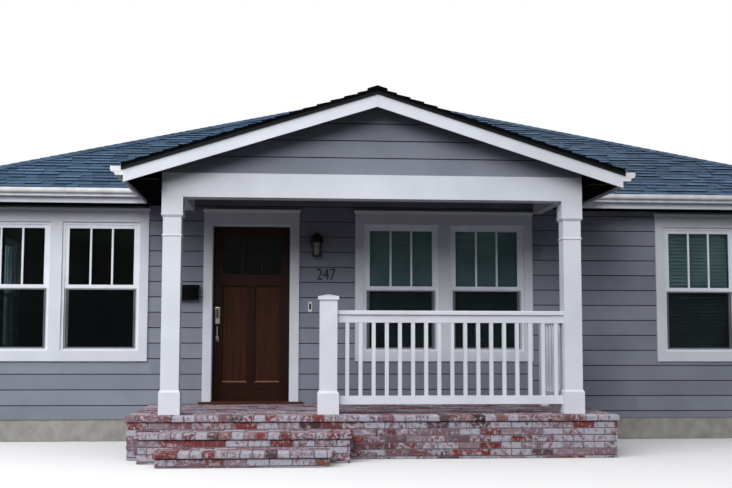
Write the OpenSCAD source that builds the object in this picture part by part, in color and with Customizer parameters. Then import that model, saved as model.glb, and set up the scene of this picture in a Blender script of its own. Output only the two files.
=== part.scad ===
// Single-storey bungalow with a hipped roof and a gabled front porch.
// Millimetres. x runs along the front from the middle of the house, to the right seen from the street.
// y runs into the house from the outer face of the front wall, z runs up from the ground.

/* [House] */
// Width over the outer faces of the side walls
house_w = 10700; // [9600:50:14000]
// Depth from the front wall to the back wall, outer faces
house_d = 8400; // [7000:50:9400]
// Thickness of the outer walls
wall_t = 150; // [120:5:220]
// Height of the porch deck above the ground
deck_h = 420; // [330:10:600]
// Step up from the porch deck to the floor inside
floor_rise = 25; // [15:1:40]
// Thickness of the timber floor
floor_t = 200; // [120:5:260]
// Thickness of the foundation walls
foundation_t = 200; // [150:5:300]
// Thickness of the ceiling with its joists
ceiling_t = 110; // [60:5:140]
// Width of the corner boards on each face
corner_w = 95; // [60:5:140]
// How far the corner boards stand out from the wall
corner_t = 28; // [20:1:40]

/* [Roof] */
// Height of the roof surface at the eaves, above the porch deck
eave_h = 2460; // [2420:10:2900]
// Overhang of the eaves, wall to fascia
overhang = 400; // [250:10:700]
// Shingles past the face of the fascia
drip = 20; // [10:1:35]
// Rise of the main roof in a run of 12
roof_ratio = 5; // [3:0.25:8]
// Vertical thickness of shingles and roof boards
roof_t = 60; // [40:1:90]
// Height of the fascia and rake boards
fascia_h = 130; // [110:5:180]
// Thickness of the fascia and rake boards
fascia_t = 20; // [15:1:35]
// Thickness of the soffit boards
soffit_t = 12; // [8:1:20]
// Fascia below the soffit
soffit_reveal = 12; // [5:1:30]

/* [Gutters] */
// Width of the gutter at the top
gutter_w = 127; // [100:1:160]
// Width of the gutter at the bottom
gutter_foot = 80; // [60:1:95]
// Height of the gutter's front
gutter_h = 88; // [75:1:110]
// Thickness of the gutter metal
gutter_t = 3; // [2:0.5:5]
// How far the front lip stands below the roof surface at the eave
gutter_drop = 28; // [15:1:45]

/* [Porch] */
// Middle of the porch from the middle of the house
porch_x = -570; // [-1200:10:600]
// Distance between the middles of the two posts
post_spacing = 4084; // [3600:10:4800]
// Wall to the middle of the posts
porch_d = 1723; // [1400:10:2200]
// Rise of the porch roof in a run of 12
porch_ratio = 3.8; // [2.5:0.1:4.5]
// Middle of a post to the porch's side fascia
porch_side = 450; // [350:10:600]
// Front of the beam to the face of the rake boards
rake_overhang = 300; // [200:10:450]
// Underside of the front beam below the roof surface at the eaves
beam_drop = 285; // [270:5:380]
// Height of the front beam
beam_h = 245; // [180:5:260]
// Thickness of the front beam
beam_t = 213; // [150:1:240]
// Underside of the side beams below the roof surface at the eaves
side_beam_drop = 214; // [180:1:260]
// Thickness of the left side beam
left_beam_t = 181; // [96:1:213]
// Thickness of the right side beam, beside the window
right_beam_t = 96; // [60:1:96]
// Underside of the porch ceiling below the roof surface at the eaves
porch_ceiling_drop = 78; // [77:1:100]
// Thickness of the porch ceiling
porch_ceiling_t = 15; // [10:1:17]
// Thickness of the gable wall over the beam
gable_t = 100; // [80:5:140]
// How far the gable wall stands back from the beam's face
gable_setback = 18; // [5:1:30]

/* [Posts and railing] */
// Width of a post's shaft
post_w = 183; // [140:1:200]
// Width of a post's base and head
post_base_w = 213; // [210:1:240]
// Height of a post's base
post_base_h = 240; // [150:5:320]
// Height of a post's head
post_head_h = 175; // [100:5:240]
// Narrow band round the shaft, below the head
post_band_drop = 223; // [120:1:400]
// Height of the bands and of the slope on each base
band_h = 20; // [10:1:30]
// Height of the moulding under a post's head
head_mould_h = 30; // [20:1:40]
// How far the moulding under a head stands out past it
head_mould_out = 5; // [2:1:8]
// How far the narrow bands stand out
band_out = 9; // [5:1:12]
// Middle of the newel from the middle of the porch
newel_x = -464; // [-900:1:-200]
// Width of the newel's shaft
newel_w = 177; // [120:1:190]
// Height of the newel up to its cap
newel_h = 1147; // [1070:1:1250]
// Height of the newel's cap
newel_cap_h = 57; // [40:1:90]
// Height of the newel's base
newel_base_h = 229; // [150:1:300]
// Top of the hand rail above the deck
rail_z = 1041; // [900:1:1050]
// Height of the hand rail
rail_cap_h = 41; // [30:1:50]
// Width of the hand rail
rail_cap_w = 90; // [70:1:120]
// Height of the rail under the hand rail
rail_upper_h = 81; // [60:1:100]
// Width of the slope along each edge of the hand rail
rail_ease = 8; // [4:1:12]
// Underside of the bottom rail above the deck
rail_bottom_z = 94; // [60:1:110]
// Height of the bottom rail
rail_bottom_h = 86; // [60:1:110]
// Thickness of the rails
rail_t = 45; // [40:1:60]
// Width of a baluster
baluster_w = 38; // [25:1:40]
// Distance between the middles of the balusters
baluster_pitch = 134.25; // [100:0.25:150]
// Row of balusters along the front, off the middle of its railing
baluster_shift = 16; // [-25:1:25]
// Free end of the side railing to the front wall
side_rail_gap = 470; // [300:10:700]
// Width of the post at the side railing's free end
end_post_w = 90; // [70:1:110]

/* [Deck and steps] */
// Width of the brick deck
deck_w = 4890; // [4500:10:5400]
// Wall to the nose of the deck
deck_d = 2030; // [1900:10:2600]
// Height of the cap course of bricks
brick_cap_h = 62; // [50:1:75]
// How far the cap course stands out
brick_nose = 20; // [10:1:30]
// Middle of the steps from the middle of the house
steps_x = -1850; // [-2200:10:-1500]
// Depth of each tread
step_d = 330; // [280:5:380]
// Width of the upper step
upper_step_w = 2050; // [1800:10:2400]
// Width of the lower step
lower_step_w = 1635; // [1400:10:1800]

/* [Front door] */
// Middle of the door from the middle of the house
door_x = -1868; // [-1950:1:-1750]
// Width of the door leaf
leaf_w = 914; // [800:1:950]
// Head of the door opening below the roof surface at the eaves
door_drop = 375; // [330:1:450]
// Thickness of the door leaf
leaf_t = 44; // [40:1:50]
// Gap between the leaf and the floor inside
leaf_lift = 8; // [6:1:12]
// Gap round the leaf
leaf_gap = 5; // [5:0.5:8]
// Width of the stiles
stile_w = 118; // [100:1:130]
// Height of the top rail
top_rail_h = 111; // [80:1:140]
// Height of the bottom rail
leaf_bottom_rail = 210; // [150:5:260]
// Height of the glass
lite_h = 460; // [300:5:480]
// Height of the rail under the glass
lock_rail_h = 135; // [80:5:160]
// Width of the bars in the glass
door_bar_w = 30; // [20:1:40]
// Width of the middle stile
mid_stile_w = 85; // [60:1:100]
// Depth of the recessed panels on each face
panel_recess = 12; // [6:1:15]
// Width of the slope round each recessed panel
panel_slope = 14; // [8:1:20]
// Thickness of the door frame
jamb_t = 35; // [25:1:45]
// Depth of the stop that the leaf closes against
stop_w = 14; // [10:1:18]
// Height of the frame's head over the leaf
head_t = 35; // [25:1:45]
// Height of the door's head casing
door_head_casing_h = 142; // [100:1:172]
// Height of the door sill
sill_h = 22; // [12:1:22]
// How far the sill stands out from the wall
sill_out = 60; // [40:1:90]
// Middle of the lock and the handle from the leaf's free edge
backset = 62; // [55:1:70]
// Foot of the keypad lock above the foot of the leaf
lock_z = 885; // [860:1:1000]
// Height of the keypad lock
lock_h = 207; // [120:1:210]
// Width of the keypad lock
lock_w = 68; // [55:1:75]
// Foot of the bow handle above the foot of the leaf
grip_z = 683; // [640:1:720]
// Height of the plate at the foot of the bow handle
grip_foot_h = 71; // [50:1:90]
// Width of the plate at the foot of the bow handle
grip_foot_w = 36; // [24:1:50]
// How far the bow handle stands out from the leaf
grip_out = 60; // [50:1:70]
// Radius of the bow handle
grip_r = 9; // [7:0.5:11]
// Height of the lever inside above the foot of the leaf
lever_z = 860; // [800:5:950]
// Length of the lever inside
lever_l = 120; // [100:5:140]
// Radius of the hinge barrels
hinge_r = 6.5; // [5:0.5:8]
// Height of a hinge
hinge_h = 100; // [80:1:120]

/* [Windows] */
// Width of one window frame
window_w = 888; // [700:1:900]
// Height of a window frame
window_h = 1490; // [1200:1:1500]
// Top of the window frames below the roof surface at the eaves
window_drop = 360; // [350:5:500]
// Width of the wall and casing between two windows of a pair
mullion_w = 137; // [110:1:160]
// Width of the casings at the sides
casing_w = 102; // [70:1:110]
// Thickness of the casings
casing_t = 32; // [26:1:40]
// Height of the casing over a window, without its cap
head_casing_h = 127; // [100:1:142]
// Height of the casing under a window
sill_casing_h = 120; // [80:1:150]
// Height of the crown moulding on a head casing
cap_h = 38; // [25:1:40]
// How far a crown moulding stands out past its casing
cap_out = 16; // [8:1:30]
// Width of a window frame's head and sides, seen from the front
frame_w = 30; // [20:1:40]
// Height of a window frame's sill
frame_foot = 16; // [10:1:30]
// Depth of a window frame
frame_d = 90; // [80:1:110]
// Width of a sash's stiles and rails
sash_w = 42; // [30:1:50]
// Height of the lower sash's bottom rail
sash_foot = 27; // [20:1:50]
// Depth of a sash
sash_d = 30; // [25:1:35]
// Height of the lower sash with its meeting rail
lower_sash_h = 746; // [600:1:760]
// Thickness of the glass
glass_t = 6; // [4:1:12]
// Left corner of the house to the middle of the left pair of windows
left_window_in = 1232; // [1220:1:1450]
// Middle of the porch pair of windows from the middle of the house
porch_window_x = 407; // [300:1:600]
// Right corner of the house to the middle of the right window
right_window_in = 1832; // [1450:1:2700]

/* [Fittings] */
// Middle of the door to the middle of the lantern
lantern_off = 758; // [740:1:900]
// Foot of the lantern above the deck
lantern_z = 1709; // [1650:1:1900]
// Height of the lantern's body with its hood
lantern_h = 287; // [200:1:300]
// Width of the lantern's hood
lantern_w = 156; // [90:1:165]
// Middle of the mailbox to the middle of the door
mailbox_off = 787; // [770:1:850]
// Foot of the mailbox above the deck
mailbox_z = 1200; // [1000:5:1400]
// Width of the mailbox
mailbox_w = 370; // [250:5:380]
// Height of the mailbox
mailbox_h = 175; // [120:5:220]
// Depth of the mailbox
mailbox_d = 100; // [70:5:140]
// Middle of the door to the middle of the doorbell
bell_off = 688; // [650:1:760]
// Middle of the doorbell above the deck
bell_z = 1125; // [1050:5:1300]
// Height of the doorbell plate
bell_h = 125; // [70:1:140]
// Width of the doorbell plate
bell_w = 46; // [30:1:60]
// Thickness of the doorbell plate
bell_t = 18; // [10:1:25]
// Middle of the door to the middle of the house number
number_off = 874; // [800:1:960]
// Foot of the house number above the deck
number_z = 1448; // [1400:1:1500]
// Height of a digit
digit_h = 124; // [80:1:140]
// Width of a digit
digit_w = 62; // [40:1:66]
// Thickness of a digit
digit_t = 12; // [6:1:20]
// Thickness of a digit's stroke
digit_stroke = 15; // [8:1:20]

/* [Hidden] */

// A hair's gap between like pieces that share a node
joint_gap = 1;
// Extra length of a cutting body past the faces that it cuts
past = 10;
// Clearance of a piece that hangs on or turns against another
seat_gap = 0.3;

// Heights from the ground
floor_z = deck_h + floor_rise;
foundation_h = floor_z - floor_t;
eave_z = deck_h + eave_h;
slope = roof_ratio / 12;
porch_slope = porch_ratio / 12;
eave_out = overhang + drip;
wall_top = eave_z + slope * eave_out - roof_t;
ridge_run = house_d / 2 + eave_out;
ridge_z = eave_z + slope * ridge_run;
fascia_top = eave_z - roof_t + slope * drip;
soffit_z = fascia_top - fascia_h + soffit_reveal;

// Windows of the front wall. The left pair keeps clear of the corner board and of the mailbox
window_z = eave_h - window_drop - window_h;
right_window_x = house_w / 2 - right_window_in;
crown_out = casing_w + cap_out;
crown_clear = 25;
mailbox_x = door_x - mailbox_off;
mailbox_end = mailbox_x - mailbox_w / 2 - crown_clear;
left_space = mailbox_end - crown_clear - corner_w + house_w / 2;
left_window_w = min(window_w, (left_space - 2 * crown_out - mullion_w) / 2);
left_window_x = min(left_window_in - house_w / 2, mailbox_end - crown_out - mullion_w / 2 - left_window_w);

// Porch frame
beam_z = eave_h - beam_drop;
side_beam_z = eave_h - side_beam_drop;
porch_ceiling_z = eave_h - porch_ceiling_drop;
post_band_z = beam_z - post_head_h - post_band_drop;
post_x = post_spacing / 2;
porch_half = post_x + porch_side;
porch_edge = porch_half + drip;
beam_half = post_x + beam_t / 2;
left_inner_x = left_beam_t - beam_half;
right_inner_x = beam_half - right_beam_t;
beam_y = -porch_d - beam_t / 2;
rake_y = beam_y - rake_overhang;
rake_edge_y = rake_y - drip;
porch_ridge_z = eave_z + porch_slope * porch_edge;

// Door
leaf_z = floor_z + leaf_lift;
leaf_h = eave_z - door_drop - leaf_gap - leaf_z;
lite_z = leaf_h - top_rail_h - lite_h;
leaf_y = wall_t - leaf_t;
frame_half = leaf_w / 2 + leaf_gap + jamb_t;
frame_top = leaf_z + leaf_h + leaf_gap + head_t;
hinge_x = leaf_w / 2 + leaf_gap / 2;
hinge_y = wall_t + hinge_r + seat_gap;
hinge_shares = [0.1, 0.5, 0.9];
grip_h = lock_z - grip_z;
rose_r = 32;
rose_t = 10;
lever_out = 50;
lever_h = 20;
lever_t = 14;
lock_t = 24;
plate_t = 8;

// Gutters: share of the height in each half of the ogee, and where its first quarter starts
ogee_share = 0.36;
ogee_start = 0.25;

// Whole box, used to centre the part on its origin
front_y = -deck_d - 2 * step_d;
back_y = house_d + overhang + gutter_w;
middle_y = (front_y + back_y) / 2;

// Windows in the side and back walls
side_window_shares = [0.29, 0.71];
side_window_y = [for (share = side_window_shares) share * house_d];
back_window_x = [-right_window_x, 0, right_window_x];

// Set back of the sashes from the inner face of the frame
sash_back = 15;

// Places of the fittings beside the door
lantern_x = door_x + lantern_off;
bell_x = door_x + bell_off;
number_x = door_x + number_off;

// Lantern: plate and arm on the wall, the knob on the hood, and shares of the width and height
lamp_out = 100;
lamp_plate_w = 90;
lamp_plate_h = 170;
lamp_plate_t = 12;
lamp_plate_z = 60;
lamp_arm_w = 20;
lamp_arm_z = 130;
lamp_knob_r = 8;
lamp_foot_h = 18;
lamp_foot_share = 0.7;
lamp_neck_share = 0.77;
lamp_eave_share = 0.61;
lamp_rim_h = 8;
lamp_knob_h = 16;

// Roundness of the small parts: sides of a bar and of a plate, and the step in degrees of a curve
bar_sides = 32;
plate_sides = 48;
curve_step = 15;

// Mailbox lid, and the pitch of the digits in widths of a digit
box_lid_h = 40;
box_lip_h = 12;
box_lip_out = 8;
box_flat_share = 0.35;
digit_pitch_share = 1.3;

// Crown mouldings: how far the foot stands out, and the flat edge at the top
crown_foot = 4;
crown_lip = 9;

// Bases and caps of the posts: the step left above a slope, and the flat top of the newel's cap
base_step = 3;
cap_flat = 6;
cap_slab_share = 0.65;
bead_share = 0.25;
cap_inset = 2;

// Places each piece so that the origin is under the middle of the whole house
module house() {
    translate([0, -middle_y, 0]) children();
}

// A box given by its lowest and highest corners
module block(low, high) {
    translate(low) cube(high - low);
}

// A profile in y and z, extruded along x from x0 to x1
module along_x(x0, x1, points) {
    translate([x0, 0, 0]) rotate([90, 0, 90]) linear_extrude(x1 - x0) polygon(points);
}

// A profile in x and z, extruded along y from y0 to y1
module along_y(y0, y1, points) {
    translate([0, y1, 0]) rotate([90, 0, 0]) linear_extrude(y1 - y0) polygon(points);
}

// A plan in x and y, extruded up from z0 to z1
module upright(z0, z1, points) {
    translate([0, 0, z0]) linear_extrude(z1 - z0) polygon(points);
}

// Moves a piece made for the front wall to a place on one of the four walls
module on_wall(side, at) {
    if (side == "front") translate([at, 0, 0]) children();
    if (side == "back") translate([at, house_d, 0]) rotate([0, 0, 180]) children();
    if (side == "left") translate([-house_w / 2, at, 0]) rotate([0, 0, -90]) children();
    if (side == "right") translate([house_w / 2, at, 0]) rotate([0, 0, 90]) children();
}

// Calls its child once for each window in the side and back walls
module each_plain_window() {
    for (y = side_window_y) on_wall("left", y) children();
    for (y = side_window_y) on_wall("right", y) children();
    for (x = back_window_x) on_wall("back", x) children();
}

// Width over the frames of a group of windows set side by side, each w wide
function group_w(count, w) = count * w + (count - 1) * mullion_w;

// Middle of each window in a group of one or two
function unit_places(count, w) = [
    for (i = [0:count - 1]) (i - (count - 1) / 2) * (w + mullion_w)
];

// The hole in the wall for a group of windows
module window_hole(count, w = window_w) {
    half = group_w(count, w) / 2;
    block([-half, -past, deck_h + window_z], [half, wall_t + past, deck_h + window_z + window_h]);
}

module foundation() {
    color("silver") difference() {
        block([-house_w / 2, 0, 0], [house_w / 2, house_d, foundation_h]);
        block(
            [-house_w / 2 + foundation_t, foundation_t, -past],
            [house_w / 2 - foundation_t, house_d - foundation_t, foundation_h + past]
        );
    }
}

module floor_boards() {
    color("peru") block([-house_w / 2, 0, foundation_h], [house_w / 2, house_d, floor_z]);
}

module front_wall_left() {
    color("lightslategray") difference() {
        block([-house_w / 2, 0, floor_z], [door_x - frame_half, wall_t, wall_top]);
        on_wall("front", left_window_x) window_hole(2, left_window_w);
    }
}

module front_wall_right() {
    color("lightslategray") difference() {
        block([door_x + frame_half, 0, floor_z], [house_w / 2, wall_t, wall_top]);
        on_wall("front", porch_window_x) window_hole(2);
        on_wall("front", right_window_x) window_hole(1);
    }
}

module front_wall_over_door() {
    color("lightslategray") block(
        [door_x - frame_half, 0, frame_top],
        [door_x + frame_half, wall_t, wall_top]
    );
}

// Left and right walls, between the front wall and the back wall
module side_walls() {
    color("lightslategray") for (s = [-1, 1]) scale([s, 1, 1]) difference() {
        block([house_w / 2 - wall_t, wall_t, floor_z], [house_w / 2, house_d - wall_t, wall_top]);
        for (y = side_window_y) on_wall("right", y) window_hole(1);
    }
}

module back_wall() {
    color("lightslategray") difference() {
        block([-house_w / 2, house_d - wall_t, floor_z], [house_w / 2, house_d, wall_top]);
        for (x = back_window_x) on_wall("back", x) window_hole(1);
    }
}

// Boards that wrap each outer corner, from the foundation to the soffit
module corner_boards() {
    for (sx = [-1, 1], sy = [-1, 1]) {
        color("ghostwhite") translate([0, house_d / 2, 0])
            scale([sx, sy, 1]) translate([-house_w / 2, -house_d / 2, 0]) difference() {
                block([-corner_t, -corner_t, foundation_h], [corner_w, corner_w, soffit_z]);
                block([0, 0, foundation_h - past], [corner_w + past, corner_w + past, soffit_z + past]);
            }
    }
}

module ceiling() {
    color("whitesmoke") block(
        [-house_w / 2 + wall_t, wall_t, wall_top - ceiling_t],
        [house_w / 2 - wall_t, house_d - wall_t, wall_top]
    );
}

// The front slope of the hipped roof: its plan cut out of one long sloping slab
module long_slope() {
    half = house_w / 2 + eave_out;
    middle = house_d / 2;
    reach = middle + eave_out;
    intersection() {
        upright(0, ridge_z + past, [
            [-half, -eave_out],
            [half, -eave_out],
            [half - ridge_run, middle],
            [-half + ridge_run, middle]
        ]);
        along_x(-half - past, half + past, [
            [-2 * eave_out, eave_z - slope * eave_out],
            [reach, eave_z + slope * (reach + eave_out)],
            [reach, eave_z + slope * (reach + eave_out) - roof_t],
            [-2 * eave_out, eave_z - slope * eave_out - roof_t]
        ]);
    }
}

// The left slope of the hipped roof, a triangle in plan
module short_slope() {
    half = house_w / 2 + eave_out;
    intersection() {
        upright(0, ridge_z + past, [
            [-half, -eave_out],
            [-half + ridge_run, house_d / 2],
            [-half, house_d + eave_out]
        ]);
        along_y(-eave_out - past, house_d + eave_out + past, [
            [-half - eave_out, eave_z - slope * eave_out],
            [-half + ridge_run + eave_out, ridge_z + slope * eave_out],
            [-half + ridge_run + eave_out, ridge_z + slope * eave_out - roof_t],
            [-half - eave_out, eave_z - slope * eave_out - roof_t]
        ]);
    }
}

module roof_front() {
    color("steelblue") long_slope();
}

module roof_back() {
    color("steelblue") translate([0, house_d, 0]) mirror([0, 1, 0]) long_slope();
}

module roof_left() {
    color("steelblue") short_slope();
}

module roof_right() {
    color("steelblue") mirror([1, 0, 0]) short_slope();
}

// Everything under the surface of the main roof, behind its eave
module under_main_roof() {
    back = house_d / 2;
    along_x(-house_w, house_w, [
        [-eave_out, 0],
        [-eave_out, eave_z],
        [back, eave_z + slope * (back + eave_out)],
        [back, 0]
    ]);
}

// The left slope of the porch roof, cut to the main roof along the valley
module porch_slope_left() {
    difference() {
        intersection() {
            upright(0, porch_ridge_z + past, [
                [-porch_edge, rake_edge_y],
                [0, rake_edge_y],
                [0, porch_slope / slope * porch_edge - eave_out],
                [-porch_edge, -eave_out]
            ]);
            along_y(rake_edge_y - past, house_d / 2, [
                [-porch_edge - eave_out, eave_z - porch_slope * eave_out],
                [eave_out, porch_ridge_z + porch_slope * eave_out],
                [eave_out, porch_ridge_z + porch_slope * eave_out - roof_t],
                [-porch_edge - eave_out, eave_z - porch_slope * eave_out - roof_t]
            ]);
        }
        under_main_roof();
    }
}

module porch_roof_left() {
    color("steelblue") translate([porch_x, 0, 0]) porch_slope_left();
}

module porch_roof_right() {
    color("steelblue") translate([porch_x, 0, 0]) mirror([1, 0, 0]) porch_slope_left();
}

// One fascia along the whole of a side, or up to the porch on the front
module fascia_boards() {
    corner = house_w / 2 + overhang;
    low = fascia_top - fascia_h;
    porch_low = eave_z - roof_t + porch_slope * drip - fascia_h;
    color("ghostwhite") {
        block([-corner, -overhang, low], [porch_x - porch_half, -overhang + fascia_t, fascia_top]);
        block([porch_x + porch_half, -overhang, low], [corner, -overhang + fascia_t, fascia_top]);
        block([-corner, house_d + overhang - fascia_t, low], [corner, house_d + overhang, fascia_top]);
        for (s = [-1, 1]) {
            scale([s, 1, 1]) block(
                [-corner, -overhang + fascia_t + joint_gap, low],
                [-corner + fascia_t, house_d + overhang - fascia_t - joint_gap, fascia_top]
            );
            translate([porch_x, 0, 0]) scale([s, 1, 1]) along_x(-porch_half, -porch_half + fascia_t, [
                [rake_y + fascia_t, porch_low],
                [-overhang - joint_gap, porch_low],
                [-overhang - joint_gap, eave_z - roof_t],
                [-eave_out - joint_gap, eave_z - roof_t],
                [-eave_out - joint_gap, porch_low + fascia_h],
                [rake_y + fascia_t, porch_low + fascia_h]
            ]);
        }
    }
}

// Boards that close the underside of the main eaves
module soffits() {
    inner = overhang - fascia_t;
    corner = house_w / 2 + inner;
    top = soffit_z + soffit_t;
    color("gainsboro") {
        block([-corner, -inner, soffit_z], [porch_x - porch_half, 0, top]);
        block([porch_x + porch_half, -inner, soffit_z], [corner, 0, top]);
        block([-corner, house_d, soffit_z], [corner, house_d + inner, top]);
        for (s = [-1, 1]) scale([s, 1, 1]) block(
            [-corner, joint_gap, soffit_z],
            [-house_w / 2, house_d - joint_gap, top]
        );
    }
}

// Section of an ogee gutter: distance out from the fascia, height from the foot.
// The front leaves the foot in a quarter round and turns back under the lip in another.
function gutter_outline(out, foot, high, back) = [
    [0, back],
    [0, 0],
    [foot, 0],
    for (a = [0:curve_step:90]) [
        foot + (out - foot) / 2 * (1 - cos(a)),
        high * ogee_share * (ogee_start + (1 - ogee_start) * sin(a))
    ],
    for (a = [90:-curve_step:0]) [
        out - (out - foot) / 2 * (1 - cos(a)),
        high * ogee_share * (2 - sin(a))
    ],
    [out, high]
];

module gutters() {
    corner = house_w / 2 + overhang;
    g = gutter_w;
    low = eave_z - gutter_drop - gutter_h;
    back = gutter_h + gutter_drop - roof_t - seat_gap;
    far_x = 2 * house_w;
    gap = joint_gap / 2;
    color("ghostwhite") {
        // Front, left of the porch
        intersection() {
            along_y_trough(-overhang, far_x, low, back);
            upright(0, eave_z, [
                [-corner + gap, -overhang],
                [porch_x - porch_half - gap, -overhang],
                [porch_x - porch_half - g - gap, -overhang - g],
                [-corner - g + gap, -overhang - g]
            ]);
        }
        // Front, right of the porch
        intersection() {
            along_y_trough(-overhang, far_x, low, back);
            upright(0, eave_z, [
                [corner - gap, -overhang],
                [porch_x + porch_half + gap, -overhang],
                [porch_x + porch_half + g + gap, -overhang - g],
                [corner + g - gap, -overhang - g]
            ]);
        }
        // Back
        intersection() {
            translate([0, house_d, 0]) mirror([0, 1, 0]) along_y_trough(-overhang, far_x, low, back);
            upright(0, eave_z, [
                [corner - gap, house_d + overhang],
                [-corner + gap, house_d + overhang],
                [-corner - g + gap, house_d + overhang + g],
                [corner + g - gap, house_d + overhang + g]
            ]);
        }
        // Sides
        for (s = [-1, 1]) scale([s, 1, 1]) intersection() {
            side_trough(corner, low, back);
            upright(0, eave_z, [
                [corner, -overhang + gap],
                [corner, house_d + overhang - gap],
                [corner + g, house_d + overhang + g - gap],
                [corner + g, -overhang - g + gap]
            ]);
        }
        // Porch eaves, with an end cap at the front
        for (s = [-1, 1]) translate([porch_x, 0, 0]) scale([s, 1, 1]) {
            intersection() {
                side_trough(porch_half, low, back);
                upright(0, eave_z, [
                    [porch_half, rake_y + gutter_t],
                    [porch_half, -overhang - gap],
                    [porch_half + g, -overhang - g - gap],
                    [porch_half + g, rake_y + gutter_t]
                ]);
            }
            translate([porch_half, 0, low]) along_y(
                rake_y,
                rake_y + gutter_t,
                concat(gutter_outline(g, gutter_foot, gutter_h, back), [[drip + joint_gap, back]])
            );
        }
    }
}

// The open section of a gutter, foot at the origin, running out along x
module gutter_section(back) {
    difference() {
        polygon(gutter_outline(gutter_w, gutter_foot, gutter_h, back));
        translate([gutter_t, gutter_t]) polygon(gutter_outline(
            gutter_w - 2 * gutter_t,
            gutter_foot - 2 * gutter_t,
            gutter_h + gutter_t,
            gutter_h + past
        ));
    }
}

// A long gutter along x on a fascia at y, its open side towards the street
module along_y_trough(y, length, low, back) {
    translate([length / 2, y, low]) rotate([90, 0, -90]) linear_extrude(length) gutter_section(back);
}

// A long gutter along y on a fascia at x
module side_trough(x, low, back) {
    length = house_d * 2;
    translate([x, length, low]) rotate([90, 0, 0]) linear_extrude(length * 2) gutter_section(back);
}

module rake_boards() {
    edge_top = eave_z - roof_t + porch_slope * drip;
    peak_top = edge_top + porch_slope * porch_half;
    gap = joint_gap / 2;
    for (s = [-1, 1]) {
        color("ghostwhite") translate([porch_x, 0, 0]) scale([s, 1, 1]) along_y(
            rake_y,
            rake_y + fascia_t,
            [
                [-porch_half, edge_top],
                [-gap, peak_top - porch_slope * gap],
                [-gap, peak_top - porch_slope * gap - fascia_h],
                [-porch_half, edge_top - fascia_h]
            ]
        );
    }
}

module gable_wall() {
    peak = porch_ridge_z - roof_t - seat_gap;
    side_top = peak - porch_slope * beam_half;
    low = deck_h + beam_z + beam_h;
    front = beam_y + gable_setback;
    color("lightslategray") translate([porch_x, 0, 0]) along_y(front, front + gable_t, [
        [-beam_half, low],
        [beam_half, low],
        [beam_half, side_top],
        [0, peak],
        [-beam_half, side_top]
    ]);
}

module porch_ceiling() {
    low = deck_h + porch_ceiling_z;
    color("dimgray") translate([porch_x, 0, 0]) block(
        [left_inner_x, beam_y + beam_t, low],
        [right_inner_x, 0, low + porch_ceiling_t]
    );
}

module porch_beam() {
    low = deck_h + beam_z;
    color("ghostwhite") translate([porch_x, 0, 0]) block(
        [-beam_half, beam_y, low],
        [beam_half, beam_y + beam_t, low + beam_h]
    );
}

// A beam from the front beam to the wall, cut under both roofs
module side_beam(thickness) {
    low = deck_h + side_beam_z;
    top = porch_ridge_z - roof_t - seat_gap - porch_slope * beam_half;
    eave_low = eave_z - roof_t - seat_gap;
    translate([porch_x, 0, 0]) along_x(0, thickness, [
        [beam_y + beam_t + joint_gap, low],
        [0, low],
        [0, min(top, eave_low + slope * eave_out)],
        [-eave_out, min(top, eave_low)],
        [-eave_out - joint_gap, min(top, eave_low)],
        [-eave_out - joint_gap, top],
        [beam_y + beam_t + joint_gap, top]
    ]);
}

module side_beams() {
    color("ghostwhite") {
        translate([-beam_half, 0, 0]) side_beam(left_beam_t);
        translate([right_inner_x, 0, 0]) side_beam(right_beam_t);
    }
}

// A post with square corners, from half widths and heights listed up one side
module square_post(side) {
    outline = concat(side, [for (i = [len(side) - 1:-1:0]) [-side[i][0], side[i][1]]]);
    reach = side[0][0] + past;
    intersection() {
        along_x(-reach, reach, outline);
        along_y(-reach, reach, outline);
    }
}

// A boxed post: base with a sloped top, shaft with a narrow band, head over a moulding
module post() {
    shaft = post_w / 2;
    box = post_base_w / 2;
    head_z = beam_z - post_head_h;
    bead = band_h * bead_share;
    translate([0, -porch_d, deck_h]) square_post([
        [box, 0],
        [box, post_base_h - band_h],
        [shaft + base_step, post_base_h],
        [shaft, post_base_h],
        [shaft, post_band_z],
        [shaft + band_out, post_band_z + bead],
        [shaft + band_out, post_band_z + band_h - bead],
        [shaft, post_band_z + band_h],
        [shaft, head_z - head_mould_h],
        [shaft + base_step, head_z - head_mould_h],
        [box + head_mould_out, head_z - bead],
        [box + head_mould_out, head_z],
        [box, head_z],
        [box, beam_z]
    ]);
}

module porch_posts() {
    color("ghostwhite") for (s = [-1, 1]) translate([porch_x + s * post_x, 0, 0]) post();
}

module newel_post() {
    shaft = newel_w / 2;
    box = post_base_w / 2;
    cap = box - cap_inset;
    slab_z = newel_h + newel_cap_h * cap_slab_share;
    color("ghostwhite") translate([porch_x + newel_x, -porch_d, deck_h]) square_post([
        [box, 0],
        [box, newel_base_h - band_h],
        [shaft + base_step, newel_base_h],
        [shaft, newel_base_h],
        [shaft, newel_h],
        [cap, newel_h],
        [cap, slab_z],
        [cap - band_out, slab_z],
        [cap_flat, newel_h + newel_cap_h]
    ]);
}

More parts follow.
